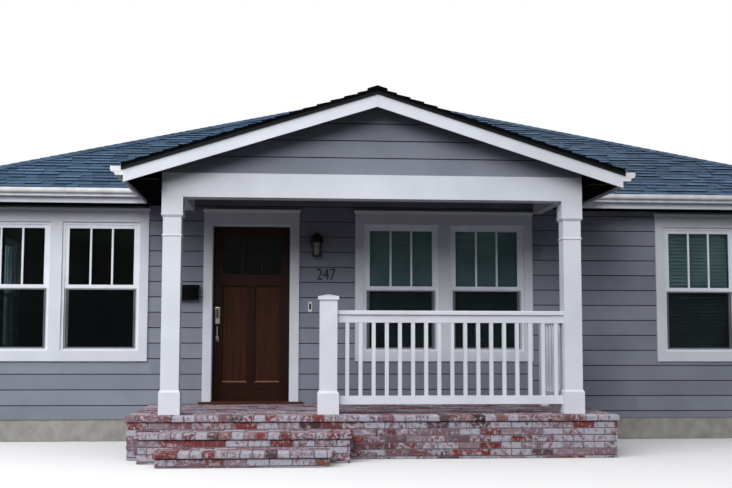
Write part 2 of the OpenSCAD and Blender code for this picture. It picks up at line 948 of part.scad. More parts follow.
// A straight length of railing along x, with its row of balusters shifted off the middle.
// The bottom rail starts past the post's base, by foot_0 at its left end and foot_1 at its right.
module railing(length, foot_0, foot_1, shift) {
    count = floor((length - baluster_w) / baluster_pitch);
    upper_z = rail_z - rail_cap_h - rail_upper_h;
    low_top = rail_bottom_z + rail_bottom_h;
    half = rail_cap_w / 2;
    first = shift - (count - 1) / 2 * baluster_pitch;
    translate([-length / 2, 0, 0]) {
        along_x(0, length, [
            [-half, rail_z - rail_cap_h],
            [half, rail_z - rail_cap_h],
            [half, rail_z - rail_ease],
            [half - rail_ease, rail_z],
            [-half + rail_ease, rail_z],
            [-half, rail_z - rail_ease]
        ]);
        block([0, -rail_t / 2, upper_z], [length, rail_t / 2, rail_z - rail_cap_h]);
        block([foot_0, -rail_t / 2, rail_bottom_z], [length - foot_1, rail_t / 2, low_top]);
    }
    for (i = [0:count - 1]) {
        translate([first + i * baluster_pitch - baluster_w / 2, -baluster_w / 2, low_top])
            cube([baluster_w, baluster_w, upper_z - low_top]);
    }
}

module porch_railing() {
    left = newel_x + newel_w / 2;
    right = post_x - post_w / 2;
    color("ghostwhite") translate([porch_x + (left + right) / 2, -porch_d, deck_h])
        railing(right - left, (post_base_w - newel_w) / 2, (post_base_w - post_w) / 2, baluster_shift);
}

module side_railing() {
    front = -porch_d + post_w / 2;
    back = -side_rail_gap - end_post_w;
    color("ghostwhite") translate([porch_x + post_x, 0, deck_h]) {
        translate([0, (front + back) / 2, 0]) rotate([0, 0, 90])
            railing(back - front, (post_base_w - post_w) / 2, 0, 0);
        block([-end_post_w / 2, back, 0], [end_post_w / 2, back + end_post_w, rail_z]);
    }
}

// Brick deck: a solid mass with a cap course that stands out on three sides
module porch_deck() {
    half = deck_w / 2;
    color("rosybrown") translate([porch_x, 0, 0]) {
        block([-half + brick_nose, -deck_d + brick_nose, 0], [half - brick_nose, 0, deck_h - brick_cap_h]);
        block([-half, -deck_d, deck_h - brick_cap_h], [half, 0, deck_h]);
    }
}

// A brick step of one riser or more, from its nose back to the face behind it
module brick_step(w, nose_y, back_y, top) {
    half = w / 2;
    cap_z = top - brick_cap_h;
    translate([steps_x, 0, 0]) {
        block([-half + brick_nose, nose_y + brick_nose, 0], [half - brick_nose, back_y, cap_z]);
        block([-half, nose_y, cap_z], [half, back_y, top]);
    }
}

module upper_step() {
    nose = -deck_d - step_d;
    color("rosybrown") brick_step(upper_step_w, nose, -deck_d + brick_nose, deck_h * 2 / 3);
}

module lower_step() {
    nose = -deck_d - 2 * step_d;
    color("rosybrown") brick_step(lower_step_w, nose, -deck_d - step_d + brick_nose, deck_h / 3);
}

// Jambs and head, with the stop that the leaf closes against on its outer side
module door_frame() {
    opening = leaf_w / 2 + leaf_gap;
    head = leaf_z + leaf_h + leaf_gap;
    color("ghostwhite") translate([door_x, 0, 0]) difference() {
        block([-frame_half, 0, floor_z], [frame_half, wall_t, frame_top]);
        block([-opening, leaf_y - leaf_gap, floor_z - past], [opening, wall_t + past, head]);
        block([-opening + stop_w, -past, floor_z - past], [opening - stop_w, wall_t, head - stop_w]);
    }
}

// Crown moulding on a head casing of a given half width, with its ends returned to the wall
module crown(half, z) {
    rim_z = z + cap_h - crown_lip;
    face = casing_t + crown_foot;
    front = casing_t + cap_out;
    foot = half + crown_foot;
    rim = half + cap_out;
    intersection() {
        along_x(-rim, rim, [[0, z], [0, z + cap_h], [-front, z + cap_h], [-front, rim_z], [-face, z]]);
        along_y(-front, 0, [
            [-foot, z],
            [foot, z],
            [rim, rim_z],
            [rim, z + cap_h],
            [-rim, z + cap_h],
            [-rim, rim_z]
        ]);
    }
}

// Flat casing round an opening, with a wider head that runs up into a crown moulding
module casing(half, low, top, head_h, foot_h, middle_w) {
    outer = half + casing_w;
    difference() {
        block([-outer, -casing_t, low - foot_h], [outer, 0, top + head_h + crown_lip]);
        block([-half, -casing_t - past, foot_h > 0 ? low : low - past], [half, past, top]);
    }
    crown(outer, top + head_h);
    if (middle_w > 0) block([-middle_w / 2, -casing_t, low], [middle_w / 2, 0, top]);
}

module door_casing() {
    half = leaf_w / 2 + leaf_gap - stop_w / 2;
    color("ghostwhite") translate([door_x, 0, 0])
        casing(half, deck_h + sill_h, frame_top - head_t, door_head_casing_h, 0, 0);
}

module door_sill() {
    half = leaf_w / 2 + casing_w + cap_out;
    color("saddlebrown") translate([door_x, 0, 0])
        block([-half, -sill_out, deck_h], [half, 0, deck_h + sill_h]);
}

module door_hinges() {
    color("silver") for (share = hinge_shares) {
        translate([door_x + hinge_x, hinge_y, leaf_z + share * leaf_h - hinge_h / 2])
            cylinder(h = hinge_h, r = hinge_r, $fn = bar_sides);
    }
}

// A recess with sloping sides, cut into the face at y = 0 and running in along y
module panel_cut(x0, x1, z0, z1) {
    s = panel_slope;
    d = panel_recess;
    intersection() {
        along_y(-past, d, [[x0, z0], [x1, z0], [x1, z1], [x0, z1]]);
        upright(z0 - past, z1 + past, [
            [x0, -past], [x1, -past], [x1, 0],
            [x1 - s, d], [x0 + s, d], [x0, 0]
        ]);
        along_x(x0 - past, x1 + past, [
            [-past, z0], [0, z0], [d, z0 + s],
            [d, z1 - s], [0, z1], [-past, z1]
        ]);
    }
}

// Panels, glass openings and bars of the leaf, with its foot at z = 0
module leaf_cuts() {
    half = leaf_w / 2;
    panel_top = lite_z - lock_rail_h;
    for (side = [-1, 1]) scale([side, 1, 1]) {
        panel_cut(mid_stile_w / 2, half - stile_w, leaf_bottom_rail, panel_top);
        translate([0, leaf_t, 0]) mirror([0, 1, 0])
            panel_cut(mid_stile_w / 2, half - stile_w, leaf_bottom_rail, panel_top);
    }
    pane = lite_pane_w();
    for (i = [-1:1]) {
        translate([i * (pane + door_bar_w) - pane / 2, -past, lite_z])
            cube([pane, leaf_t + 2 * past, lite_h]);
    }
}

// Width of one of the three panes in the door
function lite_pane_w() = (leaf_w - 2 * stile_w - 2 * door_bar_w) / 3;

module front_door() {
    color("saddlebrown") translate([door_x, leaf_y, leaf_z]) difference() {
        block([-leaf_w / 2, 0, 0], [leaf_w / 2, leaf_t, leaf_h]);
        leaf_cuts();
    }
}

// Three panes held in the door between its bars
module door_glass() {
    pane = lite_pane_w() - 2 * seat_gap;
    color("lightblue") translate([door_x, leaf_y + leaf_t / 2 - glass_t / 2, leaf_z + lite_z + seat_gap])
        for (i = [-1:1]) {
            translate([i * (lite_pane_w() + door_bar_w) - pane / 2, 0, 0])
                cube([pane, glass_t, lite_h - 2 * seat_gap]);
        }
}

// Keypad lock over a bow handle outside, and a lever inside
module door_handle() {
    foot = grip_foot_w / 2;
    bar_y = -grip_out + grip_r;
    color("silver") translate([door_x - leaf_w / 2 + backset, leaf_y, leaf_z]) {
        block([-lock_w / 2, -lock_t, lock_z], [lock_w / 2, -seat_gap, lock_z + lock_h]);
        block([-foot, -plate_t, grip_z], [foot, -seat_gap, grip_z + grip_foot_h]);
        for (z = [grip_z + 2 * grip_r, grip_z + grip_h - 2 * grip_r]) {
            translate([0, -seat_gap, z]) rotate([90, 0, 0])
                cylinder(h = -bar_y - seat_gap, r = grip_r, $fn = bar_sides);
        }
        translate([0, bar_y, grip_z]) cylinder(h = grip_h, r = grip_r, $fn = bar_sides);
        translate([0, leaf_t + seat_gap, lever_z]) rotate([-90, 0, 0]) {
            cylinder(h = rose_t, r = rose_r, $fn = plate_sides);
            cylinder(h = lever_out - seat_gap, r = grip_r, $fn = bar_sides);
        }
        block(
            [-grip_r, leaf_t + lever_out - lever_t, lever_z - lever_h / 2],
            [lever_l - grip_r, leaf_t + lever_out, lever_z + lever_h / 2]
        );
    }
}

// A rectangular ring in the plane of the wall, with a foot of its own height
module ring(w, h, border, foot, y0, y1) {
    difference() {
        block([-w / 2, y0, 0], [w / 2, y1, h]);
        block([-w / 2 + border, y0 - past, foot], [w / 2 - border, y1 + past, h - border]);
    }
}

// Height of the upper sash, which laps the top rail of the lower sash
function upper_sash_h() = window_h - frame_w - frame_foot - lower_sash_h + sash_w;

// One double-hung window, w wide: frame, upper sash to the outside, lower sash behind it
module window_unit(w) {
    inner_w = w - 2 * frame_w;
    upper_h = upper_sash_h();
    upper_y = frame_d - 2 * sash_d - sash_back;
    lower_y = upper_y + sash_d;
    ring(w, window_h, frame_w, frame_foot, 0, frame_d);
    translate([0, 0, window_h - frame_w - upper_h])
        ring(inner_w, upper_h, sash_w, sash_w, upper_y, lower_y);
    translate([0, 0, frame_foot])
        ring(inner_w, lower_sash_h, sash_w, sash_foot, lower_y, lower_y + sash_d);
}

// The two panes of one window, w wide, a hair clear of their sashes all round
module window_panes(w) {
    upper_h = upper_sash_h();
    upper_y = frame_d - 2 * sash_d - sash_back;
    pane_w = w - 2 * frame_w - 2 * sash_w - 2 * seat_gap;
    middle = sash_d / 2 - glass_t / 2;
    border = sash_w + seat_gap;
    foot = sash_foot + seat_gap;
    translate([-pane_w / 2, upper_y + middle, window_h - frame_w - upper_h + border])
        cube([pane_w, glass_t, upper_h - 2 * border]);
    translate([-pane_w / 2, upper_y + sash_d + middle, frame_foot + foot])
        cube([pane_w, glass_t, lower_sash_h - border - foot]);
}

// Frames and sashes of one or two windows in one hole, with the post between a pair
module window_group(count, w = window_w) {
    translate([0, 0, deck_h + window_z]) {
        for (x = unit_places(count, w)) translate([x, 0, 0]) window_unit(w);
        if (count > 1) block([-mullion_w / 2, 0, 0], [mullion_w / 2, frame_d, window_h]);
    }
}

module group_panes(count, w = window_w) {
    translate([0, 0, deck_h + window_z])
        for (x = unit_places(count, w)) translate([x, 0, 0]) window_panes(w);
}

module group_casing(count, w = window_w) {
    foot = deck_h + window_z;
    middle = count > 1 ? mullion_w : 0;
    casing(group_w(count, w) / 2, foot, foot + window_h, head_casing_h, sill_casing_h, middle);
}

module front_windows() {
    color("white") {
        on_wall("front", left_window_x) window_group(2, left_window_w);
        on_wall("front", porch_window_x) window_group(2);
        on_wall("front", right_window_x) window_group(1);
    }
}

module side_windows() {
    color("white") each_plain_window() window_group(1);
}

module window_casings() {
    color("ghostwhite") {
        on_wall("front", left_window_x) group_casing(2, left_window_w);
        on_wall("front", porch_window_x) group_casing(2);
        on_wall("front", right_window_x) group_casing(1);
        each_plain_window() group_casing(1);
    }
}

module window_glass() {
    color("lightblue") {
        on_wall("front", left_window_x) group_panes(2, left_window_w);
        on_wall("front", porch_window_x) group_panes(2);
        on_wall("front", right_window_x) group_panes(1);
        each_plain_window() group_panes(1);
    }
}

// Wall lantern: back plate, arm, tapered body and a flared hood with a knob
module lantern() {
    half = lantern_w / 2;
    eave = lantern_h * lamp_eave_share;
    rim = eave + lamp_rim_h;
    rise = lantern_h - lamp_knob_h - rim;
    color("black") translate([lantern_x, 0, deck_h + lantern_z]) {
        block(
            [-lamp_plate_w / 2, -lamp_plate_t, lamp_plate_z],
            [lamp_plate_w / 2, 0, lamp_plate_z + lamp_plate_h]
        );
        block(
            [-lamp_arm_w / 2, -lamp_out, lamp_arm_z],
            [lamp_arm_w / 2, -lamp_plate_t, lamp_arm_z + lamp_arm_w]
        );
        translate([0, -lamp_out, 0]) rotate_extrude($fn = plate_sides) polygon([
            [0, 0],
            [half * lamp_foot_share, 0],
            [half * lamp_foot_share, lamp_foot_h],
            [half * lamp_neck_share, eave],
            [half, eave],
            for (a = [0:curve_step:90]) [
                half - (half - lamp_knob_r) * sin(a),
                rim + rise * (1 - cos(a))
            ],
            [lamp_knob_r, lantern_h],
            [0, lantern_h]
        ]);
    }
}

// Mailbox with a sloping lid that overhangs its front
module mailbox() {
    lid_z = mailbox_h - box_lid_h;
    lip_z = lid_z - box_lip_h;
    color("black") translate([mailbox_x, 0, deck_h + mailbox_z]) along_x(-mailbox_w / 2, mailbox_w / 2, [
        [0, 0],
        [0, mailbox_h],
        [-mailbox_d * box_flat_share, mailbox_h],
        [-mailbox_d - box_lip_out, lid_z],
        [-mailbox_d - box_lip_out, lip_z],
        [-mailbox_d, lip_z],
        [-mailbox_d, 0]
    ]);
}

// A flat plate with round ends
module doorbell() {
    r = bell_w / 2;
    color("white") translate([bell_x, 0, deck_h + bell_z - bell_h / 2]) {
        block([-r, -bell_t, r], [r, 0, bell_h - r]);
        for (z = [r, bell_h - r]) translate([0, 0, z]) rotate([90, 0, 0])
            cylinder(h = bell_t, r = r, $fn = plate_sides);
    }
}

// Strokes of the digits 2, 4 and 7 as line segments on a unit box
digit_lines = [
    [[[0, 1], [1, 1]], [[1, 1], [1, 0.5]], [[1, 0.5], [0, 0.5]], [[0, 0.5], [0, 0]], [[0, 0], [1, 0]]],
    [[[0, 1], [0, 0.45]], [[0, 0.45], [1, 0.45]], [[1, 1], [1, 0]]],
    [[[0, 1], [1, 1]], [[1, 1], [1, 0]]]
];

// One stroke, a bar along x or z from a to b
module stroke(a, b) {
    s = digit_stroke;
    w = digit_w - s;
    h = digit_h - s;
    block(
        [min(a[0], b[0]) * w, -digit_t, min(a[1], b[1]) * h],
        [max(a[0], b[0]) * w + s, 0, max(a[1], b[1]) * h + s]
    );
}

module house_number() {
    pitch = digit_w * digit_pitch_share;
    color("black") translate([number_x - digit_w / 2, 0, deck_h + number_z])
        for (i = [0:2]) translate([(i - 1) * pitch, 0, 0])
            for (line = digit_lines[i]) stroke(line[0], line[1]);
}

house() foundation();
house() floor_boards();  // floor
house() front_wall_left();
house() front_wall_right();
house() front_wall_over_door();
house() side_walls();
house() back_wall();
house() corner_boards();
house() ceiling();
house() roof_front();
house() roof_back();
house() roof_left();
house() roof_right();
house() porch_roof_left();
house() porch_roof_right();
house() fascia_boards();
house() soffits();
house() gutters();
house() rake_boards();
house() gable_wall();
house() porch_ceiling();
house() porch_beam();
house() side_beams();
house() porch_posts();
house() newel_post();
house() porch_railing();
house() side_railing();
house() porch_deck();
house() upper_step();
house() lower_step();
house() door_frame();
house() door_casing();
house() door_sill();
house() door_hinges();
house() front_door();
house() door_glass();
house() door_handle();
house() front_windows();
house() side_windows();
house() window_casings();
house() window_glass();
house() lantern();
house() mailbox();
house() doorbell();
house() house_number();
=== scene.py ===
import math
import bpy
import numpy as np
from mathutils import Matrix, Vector


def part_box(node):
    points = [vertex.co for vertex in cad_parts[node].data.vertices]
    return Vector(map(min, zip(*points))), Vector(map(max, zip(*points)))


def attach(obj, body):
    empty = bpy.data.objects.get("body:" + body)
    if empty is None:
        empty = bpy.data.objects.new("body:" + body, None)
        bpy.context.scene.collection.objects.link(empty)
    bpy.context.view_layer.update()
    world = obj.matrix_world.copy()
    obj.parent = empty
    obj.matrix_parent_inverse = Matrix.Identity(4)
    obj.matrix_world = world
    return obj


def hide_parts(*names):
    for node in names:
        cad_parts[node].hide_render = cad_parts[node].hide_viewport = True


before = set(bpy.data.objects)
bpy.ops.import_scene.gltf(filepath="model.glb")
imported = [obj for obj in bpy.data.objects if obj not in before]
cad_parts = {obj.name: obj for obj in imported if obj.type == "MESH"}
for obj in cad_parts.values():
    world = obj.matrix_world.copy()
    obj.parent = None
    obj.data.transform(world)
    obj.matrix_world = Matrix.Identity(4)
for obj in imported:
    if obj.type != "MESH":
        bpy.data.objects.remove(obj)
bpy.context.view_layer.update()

# CAMERA
# The photograph was taken at eye level from the street, a little to the left of the porch, with the
# camera turned slightly up and to the right.
bpy.ops.object.camera_add(
    location=(-1.477, -15.9365, 1.182),
    rotation=(math.radians(94.930), math.radians(-0.111), math.radians(-4.265)),
)
camera = bpy.context.object
camera.name = "street_camera"
camera.data.sensor_width = 36
camera.data.lens = 53.6
bpy.context.scene.camera = camera
bpy.context.scene.view_settings.view_transform = "Standard"


# FLOOR AND LIGHT
# A pale studio floor and a white surround. Soft light falls from overhead. A large panel stands high
# at the left, the brighter side in the photograph, one reaches into the porch from behind the
# camera, and one stands behind the house.
def tint(code):
    """Linear colour of an sRGB hex value."""
    levels = [int(code[i:i + 2], 16) / 255 for i in (1, 3, 5)]
    return [v / 12.92 if v <= 0.04045 else ((v + 0.055) / 1.055) ** 2.4 for v in levels] + [1]


def feed(node, *first, **named):
    """Gives a node's sockets a value or a link: the first ones in order, others by name, with _ for
    a space. A node that is linked stands for its first output."""
    for name, source in [*enumerate(first), *named.items()]:
        socket = node.inputs[name if isinstance(name, int) else name.replace("_", " ")]
        if isinstance(source, bpy.types.Node):
            source = source.outputs[0]
        if isinstance(source, bpy.types.NodeSocket):
            node.id_data.links.new(source, socket)
        else:
            socket.default_value = source


def put(tree, kind, *first, **named):
    """Adds one node with its settings and links. A name in small letters is one of its properties."""
    node = tree.nodes.new("ShaderNode" + kind)
    for name in [name for name in named if name.islower()]:
        value = named.pop(name)
        if name == "ramp":
            while len(node.color_ramp.elements) < len(value):
                node.color_ramp.elements.new(0.5)
            for stop, (position, code) in zip(node.color_ramp.elements, value):
                stop.position, stop.color = position, tint(code)
        else:
            setattr(node, name, value)
    feed(node, *first, **named)
    return node


def finish(name, **sockets):
    """A new material with the shader's own sockets set. Returns it with its tree, its shader and the
    Object coordinates that its patterns read."""
    material = bpy.data.materials.new(name)
    material.use_nodes = True
    tree = material.node_tree
    shader = tree.nodes["Principled BSDF"]
    feed(shader, **sockets)
    return material, tree, shader, put(tree, "TexCoord").outputs["Object"]


def is_seen(tree):
    """1 for rays from the camera, metal or glass, and 0 for those that light the house."""
    rays = put(tree, "LightPath").outputs
    seen = put(tree, "Math", rays["Is Camera Ray"], rays["Is Glossy Ray"], operation="MAXIMUM")
    return put(tree, "Math", seen, rays["Is Transmission Ray"], operation="MAXIMUM")


bpy.ops.mesh.primitive_plane_add(size=160, location=(0, 0, -0.004))
floor = bpy.context.object
floor.name = "studio_floor"
paper, tree, shader, where = finish("pale_paper", Roughness=0.9)
shade = put(tree, "MixRGB", Color1=tint("#303030"), Color2=tint("#e9e9ea"), Fac=is_seen(tree))
feed(shader, Base_Color=shade)
floor.data.materials.append(paper)

world = bpy.data.worlds.new("studio")
bpy.context.scene.world = world
world.use_nodes = True
tree = world.node_tree
plain = put(tree, "MixRGB", Color1=[0.07, 0.074, 0.083, 1], Color2=[1, 1, 1, 1], Fac=is_seen(tree))
feed(tree.nodes["Background"], Color=plain)

for name, spot, size, power in (
    ("left_panel", (-11, -12.5, 10.5), 11, 1330),
    ("front_panel", (-5, -21, 9), 7, 1600),
    ("rear_panel", (10, 18, 12), 12, 1900),
):
    aim = (Vector((-0.5, -2, 1.5)) - Vector(spot)).to_track_quat("-Z", "Y").to_euler()
    bpy.ops.object.light_add(type="AREA", location=spot, rotation=aim)
    lamp = bpy.context.object
    lamp.name = name
    lamp.data.size = size
    lamp.data.energy = power
bpy.ops.object.light_add(type="SUN", location=(0, 0, 15))
sky = bpy.context.object
sky.name = "overhead_light"
sky.data.angle = math.radians(140)
sky.data.energy = 2.0


# FOUNDATION, FLOOR AND INSIDE
# A poured concrete footing carries a boarded timber floor. Inside, the walls and the ceiling are
# skimmed gypsum plaster, which is flat and slightly warm.
def give(material, *nodes):
    """Gives CAD nodes a material."""
    for node in nodes:
        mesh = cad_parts[node].data
        mesh.materials.clear()
        mesh.materials.append(material)


def clouded(name, stretch, detail, shades, relief=None, **sockets):
    """A material whose colour drifts between shades. stretch is how often it does so in a metre, in
    all directions or along x, y and z. relief is the same for its bumps: their stretch, detail,
    strength and depth."""
    material, tree, shader, where = finish(name, **sockets)

    def drift(stretch, detail):
        drawn = put(tree, "Mapping", where, Scale=np.ones(3) * stretch)
        return put(tree, "TexNoise", drawn, Scale=1, Detail=detail)

    feed(shader, Base_Color=put(tree, "ValToRGB", drift(stretch, detail), ramp=shades))
    if relief:
        stretch, detail, strength, depth = relief
        bump = put(tree, "Bump", Strength=strength, Distance=depth, Height=drift(stretch, detail))
        feed(shader, Normal=bump)
    return material


# Cast concrete: a dull grey, blotched at hand's width by water, pitted at a few millimetres
concrete = clouded(
    "cast_concrete", 7, 8, [(0.3, "#8b8985"), (0.7, "#a7a59f")], relief=(220, 4, 0.4, 0.003), Roughness=0.9
)
give(concrete, "foundation")

# Oiled oak boards 130 mm wide, laid front to back: each has its own shade under a long fine grain
boards, tree, shader, where = finish("oiled_oak_boards", Roughness=0.45)
lengthways = put(tree, "Mapping", where, Rotation=(0, 0, math.radians(90)))
courses = put(
    tree, "TexBrick", lengthways, Color1=tint("#8a6238"), Color2=tint("#a67c4c"), Mortar=tint("#3a2614"),
    Scale=1, Mortar_Size=0.0015, Brick_Width=1.8, Row_Height=0.13,
)
stretched = put(tree, "Mapping", where, Scale=(60, 2, 60))
grain = put(tree, "TexNoise", stretched, Scale=1, Detail=6)
veined = put(tree, "MixRGB", blend_type="MULTIPLY", Fac=0.5, Color1=courses, Color2=grain)
bump = put(tree, "Bump", Strength=0.2, Distance=0.001, Height=grain)
feed(shader, Base_Color=veined, Normal=bump)
give(boards, "floor")

# Skimmed plaster: matt off-white, with the faint trowel waves of a hand's length
plaster = clouded(
    "skimmed_plaster", 5, 3, [(0.3, "#a39d90"), (0.7, "#b0aa9e")], relief=(5, 3, 0.15, 0.004),
    Roughness=0.85, Specular_IOR_Level=0.2,
)
give(
    plaster, "front_wall_left", "front_wall_right", "front_wall_over_door", "side_walls", "back_wall",
    "ceiling", "gable_wall",
)


# LAP SIDING
# Fibre cement boards 8 mm thick are nailed in courses of 178.6 mm, each lapping the one below, and
# butt against the casings and corner boards. Their face is embossed like cedar and painted grey.
def hold(piece):
    """Makes one piece the only one selected, and the one that operators act on."""
    bpy.ops.object.select_all(action="DESELECT")
    piece.select_set(True)
    bpy.context.view_layer.objects.active = piece


def apply(piece, kind, **settings):
    """Puts a modifier on a piece and applies it."""
    hold(piece)
    modifier = piece.modifiers.new(kind.lower(), kind)
    for name, value in settings.items():
        setattr(modifier, name, value)
    bpy.ops.object.modifier_apply(modifier=modifier.name)


def block(name, start, end, ease=0, rounds=1):
    """A board or block sawn to size, given by two opposite corners, with its edges eased."""
    start, end = Vector(start), Vector(end)
    bpy.ops.mesh.primitive_cube_add(size=1, location=(start + end) / 2)
    piece = bpy.context.object
    piece.name = name
    piece.scale = [abs(size) for size in end - start]
    bpy.ops.object.transform_apply()
    if ease:
        apply(piece, "BEVEL", width=ease, segments=rounds)
    return piece


def work(piece, kind, test, tool=bpy.ops.transform.translate, **settings):
    """Works the corners, edges or faces of a piece that pass a test with one edit mode tool, or
    moves them by a value. The test is given the middle of each and, for a face, its normal."""
    hold(piece)
    mesh = piece.data
    groups = {"VERT": mesh.vertices, "EDGE": mesh.edges, "FACE": mesh.polygons}
    bpy.ops.object.mode_set(mode="EDIT")
    bpy.ops.mesh.select_mode(type=kind)
    bpy.ops.mesh.select_all(action="DESELECT")
    bpy.ops.object.mode_set(mode="OBJECT")
    for part in groups[kind]:
        if kind == "VERT":
            part.select = test(part.co)
        elif kind == "EDGE":
            a, b = (mesh.vertices[i].co for i in part.vertices)
            part.select = test((a + b) / 2)
        else:
            part.select = test(part.center, part.normal)
    bpy.ops.object.mode_set(mode="EDIT")
    tool(**settings)
    bpy.ops.object.mode_set(mode="OBJECT")


def cut(piece, planes, through=True):
    """Saws a piece along planes, each a point and a direction that points to the waste. Where the
    cut doesn't go through, it only scores a line that the piece can bend at."""
    hold(piece)
    bpy.ops.object.mode_set(mode="EDIT")
    for point, waste in planes:
        bpy.ops.mesh.select_all(action="SELECT")
        bpy.ops.mesh.bisect(
            plane_co=point, plane_no=Vector(waste).normalized(), use_fill=through, clear_outer=through
        )
    bpy.ops.object.mode_set(mode="OBJECT")


def place(piece, at, turn=(0, 0, 0)):
    """Turns a piece about its origin, then moves it, and fixes both in its mesh."""
    hold(piece)
    piece.rotation_euler = turn
    piece.location = at
    bpy.ops.object.transform_apply()


def repeat(piece, count, step):
    """Repeats a piece along a straight line, one copy every step."""
    apply(
        piece, "ARRAY", count=count, use_relative_offset=False, use_constant_offset=True,
        constant_offset_displace=step,
    )


def mark(piece, name, values):
    """Gives each face of a piece a value that its material reads."""
    layers = piece.data.attributes
    layer = layers.get(name) or layers.new(name, "FLOAT", "FACE")
    layer.data.foreach_set("value", values)


def lay(tile, columns, courses, pitch, rise, jitter, dice):
    """Lays a tile in courses that start one tile before x 0, moves each joint by its jitter, and
    gives each tile a tone of its own. Returns the corners as an array of courses, tiles and
    corners, to be written back by settle, and the tones."""
    corners, faces = len(tile.data.vertices), len(tile.data.polygons)
    repeat(tile, columns, (pitch, 0, 0))
    repeat(tile, courses, rise)
    laid = np.empty(len(tile.data.vertices) * 3)
    tile.data.vertices.foreach_get("co", laid)
    laid = laid.reshape(courses, columns, corners, 3)
    left = laid[0, 0, :, 0] < pitch / 2
    laid[:, :, left, 0] += jitter[:, :-1, None] - pitch
    laid[:, :, ~left, 0] += jitter[:, 1:, None] - pitch
    tone = dice.random((courses, columns))
    mark(tile, "tone", np.repeat(tone.ravel(), faces))
    return laid, tone


def settle(tile, laid):
    """Writes corners back to a laid piece."""
    tile.data.vertices.foreach_set("co", laid.ravel())
    tile.data.update()


def join(name, pieces):
    """Joins pieces into one."""
    hold(pieces[0])
    for piece in pieces:
        piece.select_set(True)
    if len(pieces) > 1:
        bpy.ops.object.join()
    pieces[0].name = name
    return pieces[0]


def fit(piece, slot, *materials, body="house", nodes=()):
    """Gives a piece its materials and its body, and hides the CAD nodes that it stands for. The slot is not
    used.
    """
    piece.data.materials.clear()
    for material in materials:
        piece.data.materials.append(material)
    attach(piece, body)
    if nodes:
        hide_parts(*nodes)


exposure, butt, board_l = 0.17857, 0.012, 3.66
lap_h, course_gap, end_gap, stagger = 0.010, 0.0005, 0.0008, 1.4
wall_y, back_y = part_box("front_wall_left")[0].y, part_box("back_wall")[1].y
house_l, house_r = (end.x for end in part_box("back_wall"))
house_w, house_d = house_r - house_l, back_y - wall_y
sill_z, soffit_z = (end.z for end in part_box("corner_boards"))
deck_z, porch_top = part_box("porch_deck")[1].z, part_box("porch_ceiling")[0].z
beam_low, beam_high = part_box("porch_beam")
rake_low, rake_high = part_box("rake_boards")
porch_rise = 3.8 / 12

# Painted fibre cement: satin grey-blue, embossed grain 4 mm wide along the board, a little
# difference of shade from board to board, dust that dulls it unevenly, and painted shade under each lap
siding, tree, shader, where = finish("painted_fibre_cement", Roughness=0.55, Specular_IOR_Level=0.08)
own = put(tree, "Attribute", attribute_name="tone").outputs["Fac"]
lap = put(tree, "Attribute", attribute_name="lap").outputs["Fac"]
dust = put(tree, "TexNoise", where, Scale=1.6, Detail=5)
along = put(tree, "Mapping", where, Scale=(7, 7, 260))
emboss = put(tree, "TexNoise", along, Scale=1, Detail=5, Distortion=0.4)
shade = put(tree, "Math", own, 0.35, dust, operation="MULTIPLY_ADD")
colour = put(tree, "ValToRGB", shade, ramp=[(0.35, "#777b87"), (0.95, "#8c919e")])
# The faces in the recess under each lap are painted dark grey as shade
lap_shade = put(tree, "MixRGB", Color2=tint("#2e2f34"), Fac=lap, Color1=colour)
worn = put(tree, "MapRange", dust, From_Min=0.3, From_Max=0.7, To_Min=0.5, To_Max=0.65)
bump = put(tree, "Bump", Strength=0.3, Distance=0.0012, Height=emboss)
feed(shader, Base_Color=lap_shade, Roughness=worn, Normal=bump)


def lean(board, foot_z):
    """Leans the face of a board back to the lap line, where it drops behind the board above."""
    lap_z = foot_z + exposure - lap_h
    work(board, "EDGE", lambda at: at.y < -butt * 0.9 and at.z > foot_z + exposure * 0.9,
         value=(0, butt * 0.65, 0))
    cut(board, [((0, 0, lap_z), (0, 0, 1))], through=False)
    work(board, "EDGE", lambda at: at.y < -butt * 0.3 and at.z > foot_z + exposure * 0.99,
         value=(0, butt * 0.31, 0))
    # The faces of the recess are marked, and the siding paints them dark as shade
    mark(board, "lap", [face.normal.y < -0.5 and face.center.z > lap_z for face in board.data.polygons])


def lap_wall(name, start, end, line_z, top_z, openings, seed):
    """Courses on a wall that faces -y, laid from x 0, with a lap line at line_z. The openings are
    given along the wall, which runs from start to end."""
    length = end - start
    first = line_z - math.ceil((line_z - sill_z) / exposure) * exposure
    courses, columns = math.ceil((top_z - first) / exposure), math.ceil(length / board_l) + 2
    board = block(name, (0, -butt, first), (board_l - end_gap, 0, first + exposure - course_gap))
    lean(board, first)
    work(board, "EDGE", lambda at: at.y < -butt * 0.9 and at.z < first + 0.001,
         bpy.ops.mesh.bevel, offset=0.0015, segments=1)
    dice = np.random.default_rng(seed)
    shift = dice.uniform(-stagger, stagger, (courses, 1)) + np.zeros((courses, columns + 1))
    settle(board, lay(board, columns, courses, board_l, (0, 0, exposure), shift, dice)[0])
    cut(board, [
        ((0, 0, sill_z), (0, 0, -1)), ((0, 0, top_z - 0.001), (0, 0, 1)),
        ((0, 0, 0), (-1, 0, 0)), ((length, 0, 0), (1, 0, 0)),
    ])
    for x0, x1, z0, z1 in openings:
        hole = block("hole", (x0 - start, -0.2, z0), (x1 - start, 0.2, z1))
        apply(board, "BOOLEAN", object=hole, operation="DIFFERENCE", solver="EXACT")
        bpy.data.objects.remove(hole)
    return board


def opening(middle, half, foot_z=0.94):
    """A hole for a window or the door, whose casing laps it all round."""
    return (middle - half + casing_lap, middle + half - casing_lap, foot_z, head_z)


